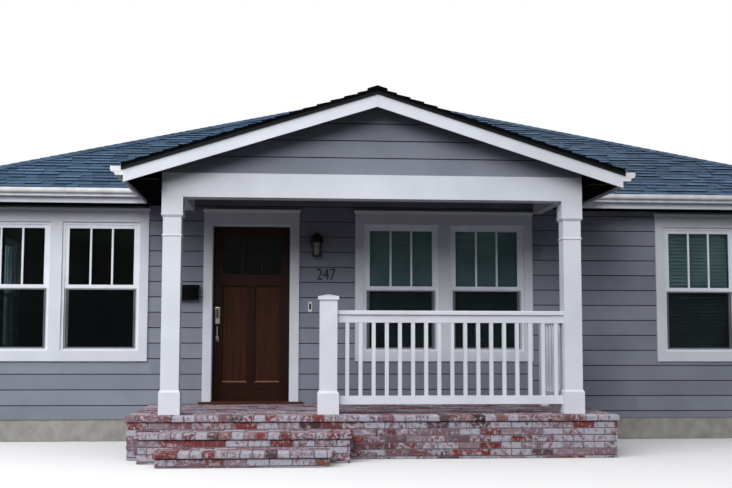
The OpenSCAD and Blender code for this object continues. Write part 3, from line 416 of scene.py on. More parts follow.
casing_lap, head_z = 0.03, 2.63
window_half, pair_half, door_half = 0.546, 1.0585, 0.557
left_pair_x, porch_pair_x, single_x, door_x = -4.118, 0.407, 3.518, -1.868
side_places, back_places = (0.29 * house_d, 0.71 * house_d), (-single_x, 0, single_x)
left_line, right_line = 2.373, 2.475
split_x = porch_pair_x + pair_half
behind_deck = (-3.0, 1.8705, 0.0, deck_z)
tuck, soffit_cut, above_z = 0.05, soffit_z - 0.001, 3.2
left_eave = (house_l - 0.2, beam_low.x + tuck, soffit_cut, above_z)
right_eave = (beam_high.x - tuck, house_r + 0.2, soffit_cut, above_z)
left_holes = [
    opening(left_pair_x, pair_half), opening(porch_pair_x, pair_half), opening(door_x, door_half, 0.30),
    behind_deck, left_eave,
]
right_holes = [opening(single_x, window_half), behind_deck, right_eave]
side_holes = [opening(middle, window_half) for middle in side_places]
back_holes = [opening(middle, window_half) for middle in back_places]
walls = {}
for name, start, end, line_z, top_z, holes, seed, at, heading in (
    ("siding_front_left", house_l, split_x, left_line, porch_top, left_holes, 11, (house_l, wall_y, 0), 0),
    ("siding_front_right", split_x, house_r, right_line, porch_top, right_holes, 12, (split_x, wall_y, 0), 0),
    ("siding_right", 0, house_d, right_line, soffit_z, side_holes, 13, (house_r, wall_y, 0), 90),
    ("siding_left", 0, house_d, left_line, soffit_z, side_holes, 14, (house_l, back_y, 0), -90),
    ("siding_back", house_l, house_r, left_line, soffit_z, back_holes, 15, (house_r, back_y, 0), 180),
):
    walls[name] = lap_wall(name, start, end, line_z, top_z, holes, seed)
    place(walls[name], at, (0, 0, math.radians(heading)))

# Beside the porch a strip of each front wall runs on above the soffit, cut to the slope of the roof
strip_w, strip_top, slope_foot = beam_low.x + tuck - rake_low.x, 2.95, 2.85
for name, x, eave_x, way, line_z, seed in (
    ("siding_front_left", rake_low.x, rake_low.x, 1, left_line, 17),
    ("siding_front_right", beam_high.x - tuck, rake_high.x, -1, right_line, 18),
):
    strip = lap_wall("strip", 0, strip_w, line_z, strip_top, [], seed)
    place(strip, (x, wall_y, 0))
    cut(strip, [((0, 0, soffit_cut), (0, 0, -1)), ((eave_x, 0, slope_foot), (-way * porch_rise, 0, 1))])
    join(name, [walls[name], strip])
for wall in walls.values():
    fit(wall, "siding", siding)


# CORNER BOARDS AND OTHER TRIM
# Corner boards, casings, fascias, beams, posts and railings are primed wood, sawn and nailed, with
# two coats of off-white paint brushed along the board.

# Satin paint: off-white, greyed in patches by the weather, which also dulls its sheen, with brush
# marks 3 mm apart
trim, tree, shader, where = finish("satin_off_white_paint", Roughness=0.42, Specular_IOR_Level=0.2)
weather = put(tree, "TexNoise", where, Scale=2.2, Detail=6)
colour = put(tree, "ValToRGB", weather, ramp=[(0.3, "#cdd1d9"), (0.72, "#dadee7")])
brushed = put(tree, "TexNoise", where, Scale=320, Detail=2)
bump = put(tree, "Bump", Strength=0.12, Distance=0.0006, Height=brushed)
dull = put(tree, "MapRange", weather, To_Min=0.36, To_Max=0.52)
feed(shader, Base_Color=colour, Roughness=dull, Normal=bump)
give(
    trim, "corner_boards", "fascia_boards", "rake_boards", "porch_beam", "side_beams", "porch_posts",
    "newel_post", "porch_railing", "side_railing", "door_frame", "door_casing", "window_casings",
)


# ROOF SHINGLES
# Laminated asphalt shingles are nailed in courses of 143 mm over a boarded deck. Each course is a row
# of tabs of uneven width, some with a second layer, so the butts throw short dark dashes. The butts
# and the single-layer tabs are also painted darker as shade.

# Asphalt shingle: slate-blue mineral granules, quite matt. Granules of 2 mm wouldn't show from the
# street, so they are drawn as specks of 11 mm, over a shade that differs from tab to tab at random
# and is painted darker on single-layer tabs as shade
shingle, tree, shader, where = finish("slate_asphalt_shingle", Roughness=0.88, Specular_IOR_Level=0.15)
own = put(tree, "Attribute", attribute_name="tone").outputs["Fac"]
granules = put(tree, "TexNoise", where, Scale=90, Detail=3)
mixed = put(tree, "Math", granules, 0.25, own, operation="MULTIPLY_ADD")
shades = [(0.1, "#22344a"), (0.4, "#2e445b"), (0.75, "#3a546e"), (1.0, "#466280")]
colour = put(tree, "ValToRGB", mixed, ramp=shades)
bump = put(tree, "Bump", Strength=0.5, Distance=0.0015, Height=granules)
feed(shader, Base_Color=colour, Normal=bump)

# Boards seen from below, drawn almost black as painted shade, and the cut edges of the shingles,
# black asphalt darkened as painted shade: dead matt, with blotches two fingers wide
sawn = clouded(
    "asphalt_black_and_painted_shade", 30, 5, [(0.3, "#08090a"), (0.7, "#101113")],
    Roughness=0.9, Specular_IOR_Level=0.0,
)

roof_t, deck_drop, tab_w, course = 0.06, 0.020, 0.2, 0.143
single_z, doubled_z, crack, spare = -0.0115, -0.004, 0.0004, 0.5


def plan_cuts(outline):
    """Upright cuts along a plan outline that is listed anticlockwise."""
    pairs = zip(outline, outline[1:] + outline[:1])
    return [((x0, y0, 0), (y1 - y0, x0 - x1, 0)) for (x0, y0), (x1, y1) in pairs]


def blacken(piece, steep=0.0):
    """Gives sawn faces, whose tone is below 0, the second, near-black material of painted shade, and faces
    this steep as well.
    """
    for face, own in zip(piece.data.polygons, piece.data.attributes["tone"].data):
        face.material_index = int(own.value < 0 or abs(face.normal.z) < steep)


def shingled(node, at, heading, rise, length, climb, whole, parts, seed):
    """One slope: a deck sawn to the whole outline, and shingles sawn to the outline of each part.
    Both are laid flat and tilted up."""
    name = "shingles_" + node.replace("roof_", "")
    tilt = (math.atan(rise), 0, math.radians(heading))
    rows, columns = math.ceil(climb / course) + 1, math.ceil(length / tab_w) + 2
    deck_foot = -roof_t * math.cos(tilt[0])
    deck = block(name + "_deck", (-spare, -spare, deck_foot), (length + spare, climb + spare, -deck_drop))
    place(deck, at, tilt)
    cut(deck, plan_cuts(whole))
    # All faces of the deck take the near-black material, painted shade under the roof
    mark(deck, "tone", [-1] * len(deck.data.polygons))
    tab = block("tab", (0, 0, -deck_drop), (tab_w - 0.004, course - crack, -0.010))
    work(tab, "VERT", lambda at: at.y > 0.1 and at.z > -0.015,
         value=(0, 0, -0.006))
    butts = [face.index for face in tab.data.polygons if face.normal.y < -0.9]
    faces = len(tab.data.polygons)
    dice = np.random.default_rng(seed)
    jitter = dice.uniform(-0.07, 0.07, (rows, columns + 1)) + dice.uniform(0, tab_w, (rows, 1))
    laid, tone = lay(tab, columns, rows, tab_w, (0, course, 0), jitter, dice)
    upper = laid[0, 0, :, 2] > -0.012
    doubled = dice.random((rows, columns)) < 0.5
    laid[:, :, upper, 2] = np.where(doubled, doubled_z, single_z)[:, :, None]
    settle(tab, laid)
    # Single-layer tabs sit lower and are painted darker as shade; the butts take the near-black material,
    # black asphalt darkened as painted shade
    tones = np.repeat(np.clip(tone * 0.55 + doubled * 0.35, 0, 1).ravel(), faces).reshape(-1, faces)
    tones[:, butts] = -1
    mark(tab, "tone", tones.ravel())
    place(tab, at, tilt)
    pieces = [deck]
    for outline in parts:
        hold(tab)
        bpy.ops.object.duplicate()
        pieces.append(bpy.context.object)
        cut(pieces[-1], plan_cuts(outline))
    bpy.data.objects.remove(tab)
    roof = join(name, pieces)
    fit(roof, "shingles", shingle, sawn, nodes=(node,))
    blacken(roof, steep=0.3)


main_rise, eave_z, overhang = 5 / 12, 2.88, 0.42
roof_l, roof_r, roof_f, roof_b = house_l - overhang, house_r + overhang, wall_y - overhang, back_y + overhang
roof_w, roof_d = roof_r - roof_l, roof_b - roof_f
ridge_half, ridge_y, ridge_z = (house_w - house_d) / 2, (wall_y + back_y) / 2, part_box("roof_front")[1].z
main_climb = (ridge_y - roof_f) / math.cos(math.atan(main_rise))
porch_low, porch_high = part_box("porch_roof_left")
porch_x = (beam_low.x + beam_high.x) / 2
porch_half = (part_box("porch_roof_right")[1].x - porch_low.x) / 2
porch_climb = porch_half / math.cos(math.atan(porch_rise))
porch_y, valley_y, porch_ridge_z = porch_low.y, porch_high.y, porch_high.z
porch_l, porch_r = porch_x - porch_half, porch_x + porch_half

front_l, front_r, back_l, back_r = (roof_l, roof_f), (roof_r, roof_f), (roof_l, roof_b), (roof_r, roof_b)
ridge_l, ridge_r, ridge_mid = (-ridge_half, ridge_y), (ridge_half, ridge_y), (porch_x, ridge_y)
valley, gable_top, porch_d = (porch_x, valley_y), (porch_x, porch_y), valley_y - porch_y
front = [front_l, front_r, ridge_r, ridge_l]
front_parts = [
    [front_l, (porch_l, roof_f), valley, ridge_mid, ridge_l],
    [(porch_r, roof_f), front_r, ridge_r, ridge_mid, valley],
]
back = [back_r, back_l, ridge_l, ridge_r]
left, right = [back_l, front_l, ridge_l], [front_r, back_r, ridge_r]
slope_l = [(porch_l, porch_y), gable_top, valley, (porch_l, roof_f)]
slope_r = [gable_top, (porch_r, porch_y), (porch_r, roof_f), valley]
for node, eave, heading, rise, length, climb, whole, parts, seed in (
    ("roof_front", front_l, 0, main_rise, roof_w, main_climb, front, front_parts, 21),
    ("roof_back", back_r, 180, main_rise, roof_w, main_climb, back, [back], 22),
    ("roof_left", back_l, -90, main_rise, roof_d, main_climb, left, [left], 23),
    ("roof_right", front_r, 90, main_rise, roof_d, main_climb, right, [right], 24),
    ("porch_roof_left", (porch_l, valley_y), -90, porch_rise, porch_d, porch_climb, slope_l, [slope_l], 25),
    ("porch_roof_right", (porch_r, porch_y), 90, porch_rise, porch_d, porch_climb, slope_r, [slope_r], 26),
):
    shingled(node, (*eave, eave_z), heading, rise, length, climb, whole, parts, seed)


# RIDGE AND HIP CAPS
# Single shingles cut to 300 mm are folded over the ridge or hip and lapped uphill, and cover the
# open joint between two slopes. A metal angle and a strip of shingle finish the rakes of the porch.
def caps(start, end, drop, seed, half=0.15, top=-0.001, lap=0.0035):
    """Folded caps from start to end. drop is how far each side falls per metre from the fold, top how
    high the caps stand at their butts and lap how much lower at the other end."""
    start, end = Vector(start), Vector(end)
    run = end - start
    count = round(run.length / course)
    step = run.length / count
    foot = -0.007
    cap = block("cap", (0, -half, foot), (step - crack, half, top))
    cut(cap, [((0, 0, 0), (0, 1, 0))], through=False)
    work(cap, "VERT", lambda at: abs(at.y) > half / 2,
         value=(0, 0, -drop * half))
    work(cap, "VERT", lambda at: at.x > step / 2 and at.z > (top + foot) / 2 - drop * abs(at.y),
         value=(0, 0, -lap))
    faces = len(cap.data.polygons)
    repeat(cap, count, (step, 0, 0))
    tone = np.repeat(np.random.default_rng(seed).uniform(0.1, 0.7, count), faces)
    # The ends of the caps take the near-black material, black asphalt darkened as painted shade
    tone[[face.index for face in cap.data.polygons if abs(face.normal.x) > 0.9]] = -1
    mark(cap, "tone", tone)
    place(cap, start, (0, -math.asin(run.z / run.length), math.atan2(run.y, run.x)))
    return cap


hip_rise = main_rise / math.sqrt(2)
hip_drop = hip_rise * math.cos(math.atan(hip_rise))
runs = [caps((*ridge_l, ridge_z), (*ridge_r, ridge_z), main_rise, 31)]
for corner, top, seed in (
    (front_l, ridge_l, 32), (front_r, ridge_r, 33), (back_r, ridge_r, 34), (back_l, ridge_l, 35),
):
    runs.append(caps((*corner, eave_z), (*top, ridge_z), hip_drop, seed))
ridge_caps = join("ridge_and_hip_caps", runs)
porch_caps = caps(
    (porch_x, porch_y - 0.004, porch_ridge_z), (porch_x, valley_y, porch_ridge_z), porch_rise, 37,
    half=0.10, top=0.022, lap=0.008,
)
porch_caps.name = "porch_ridge_caps"


# Along the two rakes of the porch a strip of shingle under each course lifts its end, so the edge
# stands up in black steps, black asphalt darkened as painted shade. Below it an enamelled angle
# covers the edge of the roof boards, also darkened as painted shade.
def rake_strip(strip, way, foot_z):
    """Lays a strip up the left slope (way 1) or the right one (-1) and saws its ends upright."""
    eave_x = porch_x - way * porch_half
    place(strip, (eave_x, porch_y, foot_z), (0, -math.atan(porch_rise), 0 if way > 0 else math.pi))
    cut(strip, [((eave_x, 0, 0), (-way, 0, 0)), ((porch_x, 0, 0), (way, 0, 0))])
    return strip


lifts, drips = [], []
for way in (1, -1):
    lift = block("lift", (0, 0, -0.012), (course - crack, 0.050 * way, 0.009))
    work(lift, "VERT", lambda at: at.x > course / 2 and at.z > 0,
         value=(0, 0, -0.013))
    repeat(lift, math.ceil(porch_climb / course) + 1, (course, 0, 0))
    lifts.append(rake_strip(lift, way, eave_z))
    for front_y, rear_y, low, high in ((-0.0025, 0, -0.002, 0.022), (0, 0.017, -0.0025, -0.0005)):
        leg = block("drip", (-0.05, front_y * way, low), (porch_climb + 0.05, rear_y * way, high))
        drips.append(rake_strip(leg, way, eave_z - roof_t))
steps = join("rake_shingle_ends", lifts)
# The tops keep a shingle tone and the sides take the near-black material of painted shade
mark(steps, "tone", [0.25 if face.normal.z > 0.5 else -1 for face in steps.data.polygons])
for piece in (ridge_caps, porch_caps, steps):
    fit(piece, "shingles", shingle, sawn)
    blacken(piece)

# Enamelled steel baked on, satin, drawn near-black as painted shade, and chalky in patches of 40 mm
drip_enamel_and_shade = clouded(
    "enamelled_angle_painted_shade", 25, 3, [(0.3, "#0c0d10"), (0.7, "#131418")],
    Roughness=0.45, Specular_IOR_Level=0.05,
)
fit(join("rake_drip_edges", drips), "gutter_metal", drip_enamel_and_shade)


# SOFFITS, PORCH CEILING AND GUTTERS
# Soffits are grooved boards and the porch ceiling is beaded board, nailed up from below, both drawn
# near-black as painted shade. The gutters are rolled aluminium, hung on the fascias.

# Grooved boards: nearly black and matt as painted shade, and darker still as painted shade in the groove every
# 196 mm
grooved, tree, shader, where = finish("grooved_boards_painted_shade", Roughness=0.7, Specular_IOR_Level=0.0)
lines = put(tree, "TexWave", where, bands_direction="DIAGONAL", wave_profile="SAW", Scale=3.2)
groove = put(tree, "MapRange", lines.outputs["Fac"], From_Max=0.08)
colour = put(tree, "MixRGB", Color1=tint("#080809"), Color2=tint("#161719"), Fac=groove)
feed(shader, Base_Color=colour)
give(grooved, "soffits")

# The soffit returns along both eaves of the porch, between the side fascia and the beam, in the same
# grooved boards of painted shade
returns = []
for outer, inner in ((rake_low.x + 0.021, beam_low.x - 0.001), (beam_high.x + 0.001, rake_high.x - 0.021)):
    low, high = (outer, rake_high.y + 0.001, rake_low.z + 0.030), (inner, wall_y - 0.014, rake_low.z + 0.042)
    returns.append(block("return", low, high, ease=0.002))
fit(join("porch_eave_soffits", returns), "porch_ceiling_paint", grooved)

# Beaded board: as dark, as painted shade, with a bead milled every 100 mm that is painted darker still as
# shade
beaded, tree, shader, where = finish("beaded_board_painted_shade", Roughness=0.7, Specular_IOR_Level=0.0)
lines = put(tree, "TexWave", where, bands_direction="X", Scale=3.1)
bead = put(tree, "MapRange", lines.outputs["Fac"], From_Min=0.9)
colour = put(tree, "MixRGB", Color1=tint("#0d0d0e"), Color2=tint("#050506"), Fac=bead)
bump = put(tree, "Bump", invert=True, Strength=0.6, Distance=0.003, Height=bead)
feed(shader, Base_Color=colour, Normal=bump)
give(beaded, "porch_ceiling")

# Enamelled aluminium: baked off-white, a little glossier than paint, with faint upright run marks
enamel = clouded(
    "enamelled_aluminium", (9, 9, 1.5), 4, [(0.35, "#c3c3c8"), (0.6, "#d6d7dc")], Roughness=0.3
)
give(enamel, "gutters")

# Pressed caps close the front ends of the porch gutters, level with the lip
gutter_w, gutter_h, gutter_foot = 0.106, 0.056, (0.803, 0.596)
lip_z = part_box("gutters")[1].z
ends = []
for way in (1, -1):
    inner_x = porch_x - way * porch_half - 0.001 * way
    outer_x = inner_x - gutter_w * way
    plate = block("cap", (inner_x, rake_low.y - 0.0015, lip_z - gutter_h), (outer_x, rake_low.y, lip_z))
    cut(plate, [((outer_x, 0, lip_z - 0.0246), (-gutter_foot[0] * way, 0, -gutter_foot[1]))])
    apply(plate, "BEVEL", width=0.0005, segments=1)
    ends.append(plate)
fit(join("porch_gutter_ends", ends), "gutter_metal", enamel)


# GABLE SIDING
# The same lap boards close the gable over the beam. They are nailed to the gable wall in one length
# each and sawn to the slope of the roof.
gable_low, gable_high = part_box("gable_wall")
board = block(
    "siding_gable", (gable_low.x, -butt, gable_low.z), (gable_high.x, 0, gable_low.z + exposure - course_gap)
)
lean(board, gable_low.z)
faces = len(board.data.polygons)
rows = math.ceil((gable_high.z - gable_low.z) / exposure)
repeat(board, rows, (0, 0, exposure))
mark(board, "tone", np.repeat(np.random.default_rng(16).random(rows), faces))
place(board, (0, gable_low.y, 0))
peak = ((gable_low.x + gable_high.x) / 2, 0, gable_high.z)
cut(board, [(peak, (porch_rise, 0, 1)), (peak, (-porch_rise, 0, 1))])
fit(board, "siding", siding)


# BRICK DECK AND STEPS
# Reclaimed clay bricks of 200 x 100 x 57 mm in lime mortar: stretchers in running bond below, a
# cap course of headers with a worn round nose on top, and bricks laid flat inside it.

# Reclaimed brick: each has its own fired red, brown or purple, gritty at 6 mm, under a chalky wash
# of old lime that has worn off in patches of a few centimetres, more on some bricks than on others
brick, tree, shader, where = finish("reclaimed_clay_brick", Roughness=0.85, Specular_IOR_Level=0.2)
own = put(tree, "Attribute", attribute_name="tone").outputs["Fac"]
colour = put(tree, "ValToRGB", own, ramp=[
    (0.0, "#6a2a29"), (0.2, "#7b3a37"), (0.34, "#4e363b"), (0.48, "#80626a"), (0.62, "#6d4447"),
    (0.76, "#8c7982"), (0.9, "#7a4c3e"), (1.0, "#33292f"),
])
lime = put(tree, "TexNoise", where, Scale=27, Detail=9, Roughness=0.72, Distortion=0.5)
luck = put(tree, "TexWhiteNoise", noise_dimensions="1D", W=own)
washed = put(tree, "Math", luck, 0.2, lime, operation="MULTIPLY_ADD")
cover = put(tree, "MapRange", washed, From_Min=0.55, From_Max=0.67, To_Max=0.86)
limed = put(tree, "MixRGB", Color2=tint("#b3b3c1"), Fac=cover, Color1=colour)
grit = put(tree, "TexNoise", where, Scale=160, Detail=4)
worn = put(tree, "Math", grit, 0.3, lime, operation="MULTIPLY_ADD")
bump = put(tree, "Bump", Strength=0.7, Distance=0.008, Height=worn)
feed(shader, Base_Color=limed, Normal=bump)

# Lime mortar: grey and dusty. Its sand is too fine to show, so it is drawn as lumps of 17 mm
mortar = clouded(
    "lime_mortar", 60, 6, [(0.3, "#5f5e67"), (0.7, "#7e7d88")], relief=(60, 6, 0.5, 0.002), Roughness=0.95
)

joint, nose, cap_h = 0.010, 0.020, 0.062
stretcher, header, paver = (0.200, 0.095, 0.057), (0.104, 0.200, 0.059), (0.200, 0.100, 0.050)
half_brick, header_run = 0.1, 0.205


def brick_face(length, size, rise, courses, top, seed, round_nose=0):
    """Bricks along x from 0, facing -y, laid down from top. Every second course is half a brick on."""
    pitch = size[0] + joint
    columns = math.ceil(length / pitch) + 2
    tile = block("brick", (0, 0, top - size[2]), (size[0], size[1], top))
    if round_nose:
        work(tile, "EDGE", lambda at: at.y < 0.001 and abs(at.x - size[0] / 2) < 0.01,
             bpy.ops.mesh.bevel, offset=round_nose, segments=3)
    apply(tile, "BEVEL", width=0.004, segments=2, limit_method="ANGLE", angle_limit=math.radians(50))
    dice = np.random.default_rng(seed)
    jitter = dice.uniform(-0.003, 0.003, (courses, columns + 1))
    laid, _ = lay(tile, columns, courses, pitch, rise, jitter, dice)
    laid[1::2, ..., 0] += pitch / 2
    laid[..., 1] += dice.uniform(0.0002, 0.004, (courses, columns, 1))
    settle(tile, laid)
    cut(tile, [((0, 0, 0), (-1, 0, 0)), ((length, 0, 0), (1, 0, 0))])
    return tile


def brickwork(name, node, seed):
    """A brick mass with its cap course, fitted to the box of a CAD node."""
    low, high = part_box(node)
    width, depth, top = high.x - low.x, high.y - low.y, high.z
    course_h = stretcher[2] + joint
    rows = math.ceil((top - cap_h) / course_h)
    side_w, side_cap = depth - nose - half_brick, depth - header_run
    parts = []
    for heading, wall_at, wall_w, cap_at, cap_w in (
        (0, (low.x + nose, low.y + nose), width - 2 * nose, (low.x, low.y), width),
        (90, (high.x - nose, low.y + nose + half_brick), side_w, (high.x, low.y + header_run), side_cap),
        (-90, (low.x + nose, high.y), side_w, (low.x, high.y), side_cap),
    ):
        turn = (0, 0, math.radians(heading))
        wall = brick_face(wall_w, stretcher, (0, 0, -course_h), rows, top - cap_h - joint / 2, seed + heading)
        cut(wall, [((0, 0, 0), (0, 0, -1))])
        place(wall, (*wall_at, 0), turn)
        cap = brick_face(cap_w, header, (0, 0, 0), 1, top, seed + heading + 1, round_nose=0.012)
        place(cap, (*cap_at, 0), turn)
        parts += [wall, cap]
    paved_w, paved_d = width - 2 * header_run, depth - header_run
    if paved_d > 0.05:
        row_d = paver[1] + joint
        paving = brick_face(paved_w, paver, (0, row_d, 0), math.ceil(paved_d / row_d), top - 0.002, seed + 5)
        place(paving, (low.x + header_run, low.y + header_run + 0.002, 0))
        cut(paving, [((0, high.y, 0), (0, 1, 0))])
        parts.append(paving)
    fit(join(name, parts), "brick", brick, nodes=(node,))
    inset, cap_inset = nose + 0.008, 0.008
    core = block("core", (low.x + inset, low.y + inset, 0), (high.x - inset, high.y, top - cap_h - joint))
    bed = block(
        "bed", (low.x + cap_inset, low.y + cap_inset, top - cap_h + 0.004),
        (high.x - cap_inset, high.y, top - 0.007),
    )
    fit(join(name + "_mortar", [core, bed]), "brick", mortar)


brickwork("deck_bricks", "porch_deck", 100)
brickwork("upper_step_bricks", "upper_step", 400)
brickwork("lower_step_bricks", "lower_step", 700)


# DOOR LEAF
# A front door of stained mahogany: two stiles, three rails and a middle stile, mortised and glued
# round two sunk panels and three panes. The saddle and the sill board under it are the same wood.
def mahogany(name, stretch, shades):
    """Stained mahogany under satin varnish: red-brown figure drawn out along one axis by the stretch,
    with open pores six times as fine."""
    material, tree, shader, where = finish(name, Roughness=0.42, Specular_IOR_Level=0.06)
    drawn = put(tree, "Mapping", where, Scale=stretch)
    figure = put(tree, "TexNoise", drawn, Scale=1, Detail=7, Roughness=0.6, Distortion=0.6)
    colour = put(tree, "ValToRGB", figure, ramp=shades)
    pores = put(tree, "Mapping", where, Scale=tuple(6 * s for s in stretch))
    fine = put(tree, "TexNoise", pores, Scale=1, Detail=3)
    bump = put(tree, "Bump", Strength=0.25, Distance=0.0008, Height=fine)
    feed(shader, Base_Color=colour, Normal=bump)
    return material


# The figure is 22 mm wide and half a metre long. Rails, which take the stain less, are a shade
# lighter than stiles, the panels lighter again, the worn sill paler, and the bevels of the panels
# that face up palest, as a painted highlight
upright, across = (45, 45, 2.2), (2.2, 45, 45)
upright_grain = mahogany(
    "stained_mahogany_upright", upright, [(0.3, "#180b07"), (0.5, "#200f0a"), (0.7, "#29140d")]
)
cross_grain = mahogany(
    "stained_mahogany_across", across, [(0.3, "#1e0f0a"), (0.5, "#27140d"), (0.7, "#301a11")]
)
panel_grain = mahogany(
    "stained_mahogany_panel", (38, 38, 1.6), [(0.3, "#27130c"), (0.5, "#331a11"), (0.7, "#402217")]
)
sill_grain = mahogany("worn_mahogany_sill", across, [(0.3, "#3a1f16"), (0.5, "#4c2b20"), (0.7, "#5f3a2d")])
bevel_highlight = mahogany("mahogany_painted_highlight", across, [(0.3, "#6d4a3a"), (0.7, "#8a6350")])

(leaf_l, leaf_face, leaf_z), (leaf_r, leaf_back, leaf_top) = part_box("front_door")
stile_w, middle_w, bar_w = 0.118, 0.085, 0.030
top_rail_z, lite_z = leaf_top - 0.111, leaf_top - 0.571
panel_top, panel_foot = lite_z - 0.135, leaf_z + 0.210
rail_l, rail_r = leaf_l + stile_w, leaf_r - stile_w
middle_l, middle_r = (leaf_l + leaf_r - middle_w) / 2, (leaf_l + leaf_r + middle_w) / 2
uprights = [
    block("stile", (leaf_l, leaf_face, leaf_z), (rail_l, leaf_back, leaf_top)),
    block("stile", (rail_r, leaf_face, leaf_z), (leaf_r, leaf_back, leaf_top)),
    block("muntin", (middle_l, leaf_face, panel_foot), (middle_r, leaf_back, panel_top)),
]
pane_w = (rail_r - rail_l - 2 * bar_w) / 3
for i in (1, 2):
    bar_x = rail_l + i * pane_w + (i - 1) * bar_w
    bar = block("bar", (bar_x, leaf_face + 0.004, lite_z), (bar_x + bar_w, leaf_back - 0.004, top_rail_z))
    uprights.append(bar)
rails = [
    block("rail", (rail_l, leaf_face, foot), (rail_r, leaf_back, top))
    for foot, top in ((top_rail_z, leaf_top), (panel_top, lite_z), (leaf_z, panel_foot))
]
for part in uprights + rails:
    apply(part, "BEVEL", width=0.0012, segments=1)
panels = []
for left_x, right_x in ((rail_l, middle_l), (middle_r, rail_r)):
    panel = block("panel", (left_x, leaf_face + 0.002, panel_foot), (right_x, leaf_back - 0.002, panel_top))
    work(panel, "FACE", lambda at, normal: abs(normal.y) > 0.9,
         bpy.ops.mesh.inset, thickness=0.016, depth=-0.011, use_even_offset=True)
    panels.append(panel)
fit(join("door_stiles", uprights), "door_wood", upright_grain, body="door", nodes=("front_door",))
fit(join("door_rails", rails), "door_wood", cross_grain, body="door")
leaf_panels = join("door_panels", panels)
fit(leaf_panels, "door_wood", panel_grain, bevel_highlight, body="door")
# Bevels of the panels that face up take the pale mahogany, a painted highlight
for face in leaf_panels.data.polygons:
    face.material_index = int(0.3 < face.normal.z < 0.99)

saddle_foot, saddle_top = 0.4453, 0.4580
saddle = block(
    "door_saddle", (leaf_l - 0.003, wall_y, saddle_foot), (leaf_r + 0.003, leaf_face - 0.006, saddle_top)
)
work(saddle, "EDGE", lambda at: at.y < wall_y + 0.001 and at.z > saddle_foot + 0.005,
     bpy.ops.mesh.bevel, offset=0.010, segments=2)
fit(saddle, "door_wood", cross_grain)
sill_low, sill_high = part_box("door_sill")
sill = block(
    "door_sill_board", (sill_low.x - 0.020, sill_low.y - 0.014, sill_low.z),
    (sill_high.x + 0.038, sill_high.y, sill_high.z + 0.003),
)
work(sill, "EDGE", lambda at: at.y < sill_low.y and at.z > sill_high.z,
     bpy.ops.mesh.bevel, offset=0.008, segments=2)
fit(sill, "door_wood", sill_grain, nodes=("door_sill",))


# GLASS
# Panes of float glass 6 mm thick, cut to size: three in the door leaf and one in each sash. They are
# bedded in sealant, in grooves of the wood and of the vinyl.

# Float glass: clear and quite smooth, a faint grey-green in its thickness, with a film of dust that
# comes and goes over a forearm's length
pane_glass = clouded(
    "tinted_float_glass", 3, 3, [(0.3, "#97abae"), (0.7, "#a2b4b6")],
    Transmission_Weight=1.0, IOR=1.1, Roughness=0.0,
)
give(pane_glass, "window_glass", "door_glass")


# LOCK, HANDLE AND HINGES
# A keypad lock over a bow handle outside and a lever inside, screwed through the stile, and steel
# hinges, all plated the same. The keys are blank.

# Satin nickel: warm grey plating, brushed up and down in hairlines of 1 mm
nickel = clouded(
    "satin_nickel", (900, 900, 40), 2, [(0.3, "#77736c"), (0.7, "#8a867f")], Metallic=1.0, Roughness=0.32
)
give(nickel, "door_hinges")

# Gloss enamel: a wet-looking black baked on sheet, pooled very slightly at a hand's width
gloss = clouded(
    "black_gloss_enamel", 9, 2, [(0.3, "#050506"), (0.7, "#0a0a0c")],
    Roughness=0.16, Specular_IOR_Level=0.05,
)


def smooth(piece):
    """Shades the gentle bends of a piece smooth."""
    hold(piece)
    bpy.ops.object.shade_smooth_by_angle(angle=math.radians(35))


def turned(name, outline, sides=32):
    """A turned piece that stands on z, drawn out ring by ring from radii and heights."""
    radius, height = outline[0]
    bpy.ops.mesh.primitive_circle_add(vertices=sides, radius=radius, location=(0, 0, height), fill_type="NGON")
    piece = bpy.context.object
    piece.name = name
    bpy.ops.object.transform_apply()
    bpy.ops.object.mode_set(mode="EDIT")
    bpy.ops.mesh.select_all(action="SELECT")
    for wide, high in outline[1:]:
        bpy.ops.mesh.extrude_region_move(TRANSFORM_OT_translate={"value": (0, 0, high - height)})
        bpy.ops.transform.resize(value=(wide / radius, wide / radius, 1), center_override=(0, 0, high))
        radius, height = wide, high
    bpy.ops.mesh.select_all(action="SELECT")
    bpy.ops.mesh.normals_make_consistent(inside=False)
    bpy.ops.object.mode_set(mode="OBJECT")
    smooth(piece)
    return piece


to_street, to_room = (math.radians(90), 0, 0), (math.radians(-90), 0, 0)
grip_low, grip_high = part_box("door_handle")
grip_x, lock_h, bow_l, lever_z = leaf_l + 0.062, 0.207, 0.200, leaf_z + 0.860
lock_z, hairline = grip_high.z - lock_h, 0.0003
lock = block("lock", (-0.034, -0.024, 0), (0.034, -hairline, lock_h))
work(lock, "FACE", lambda at, normal: normal.y < -0.9,
     bpy.ops.transform.resize, value=(0.90, 1, 0.97), center_override=(0, -0.024, lock_h / 2))
apply(lock, "BEVEL", width=0.005, segments=3, limit_method="ANGLE", angle_limit=math.radians(40))
place(lock, (grip_x, leaf_face, lock_z))
plug = turned("plug", [(0.0125, 0), (0.0125, 0.004), (0.011, 0.005), (0.006, 0.005)], 24)
place(plug, (grip_x, leaf_face - 0.0235, lock_z + 0.030), to_street)
shoe = block("shoe", (-0.018, -0.008, 0), (0.018, -hairline, 0.071), ease=0.004, rounds=3)
place(shoe, (grip_x, leaf_face, grip_low.z))
bow = turned("bow", [
    (0.0085, 0), (0.0085, 0.012), (0.0085, 0.024), (0.0085, 0.036), (0.009, 0.060), (0.010, 0.100),
    (0.009, 0.140), (0.0085, 0.166), (0.0085, 0.178), (0.0085, 0.190), (0.0085, bow_l),
], 16)
for corner in bow.data.vertices:
    share = corner.co.z / bow_l
    corner.co.y -= 0.0505 * min(1, 3.2 * math.sqrt(max(0, share * (1 - share))))
place(bow, (grip_x, leaf_face, grip_low.z + 0.003))
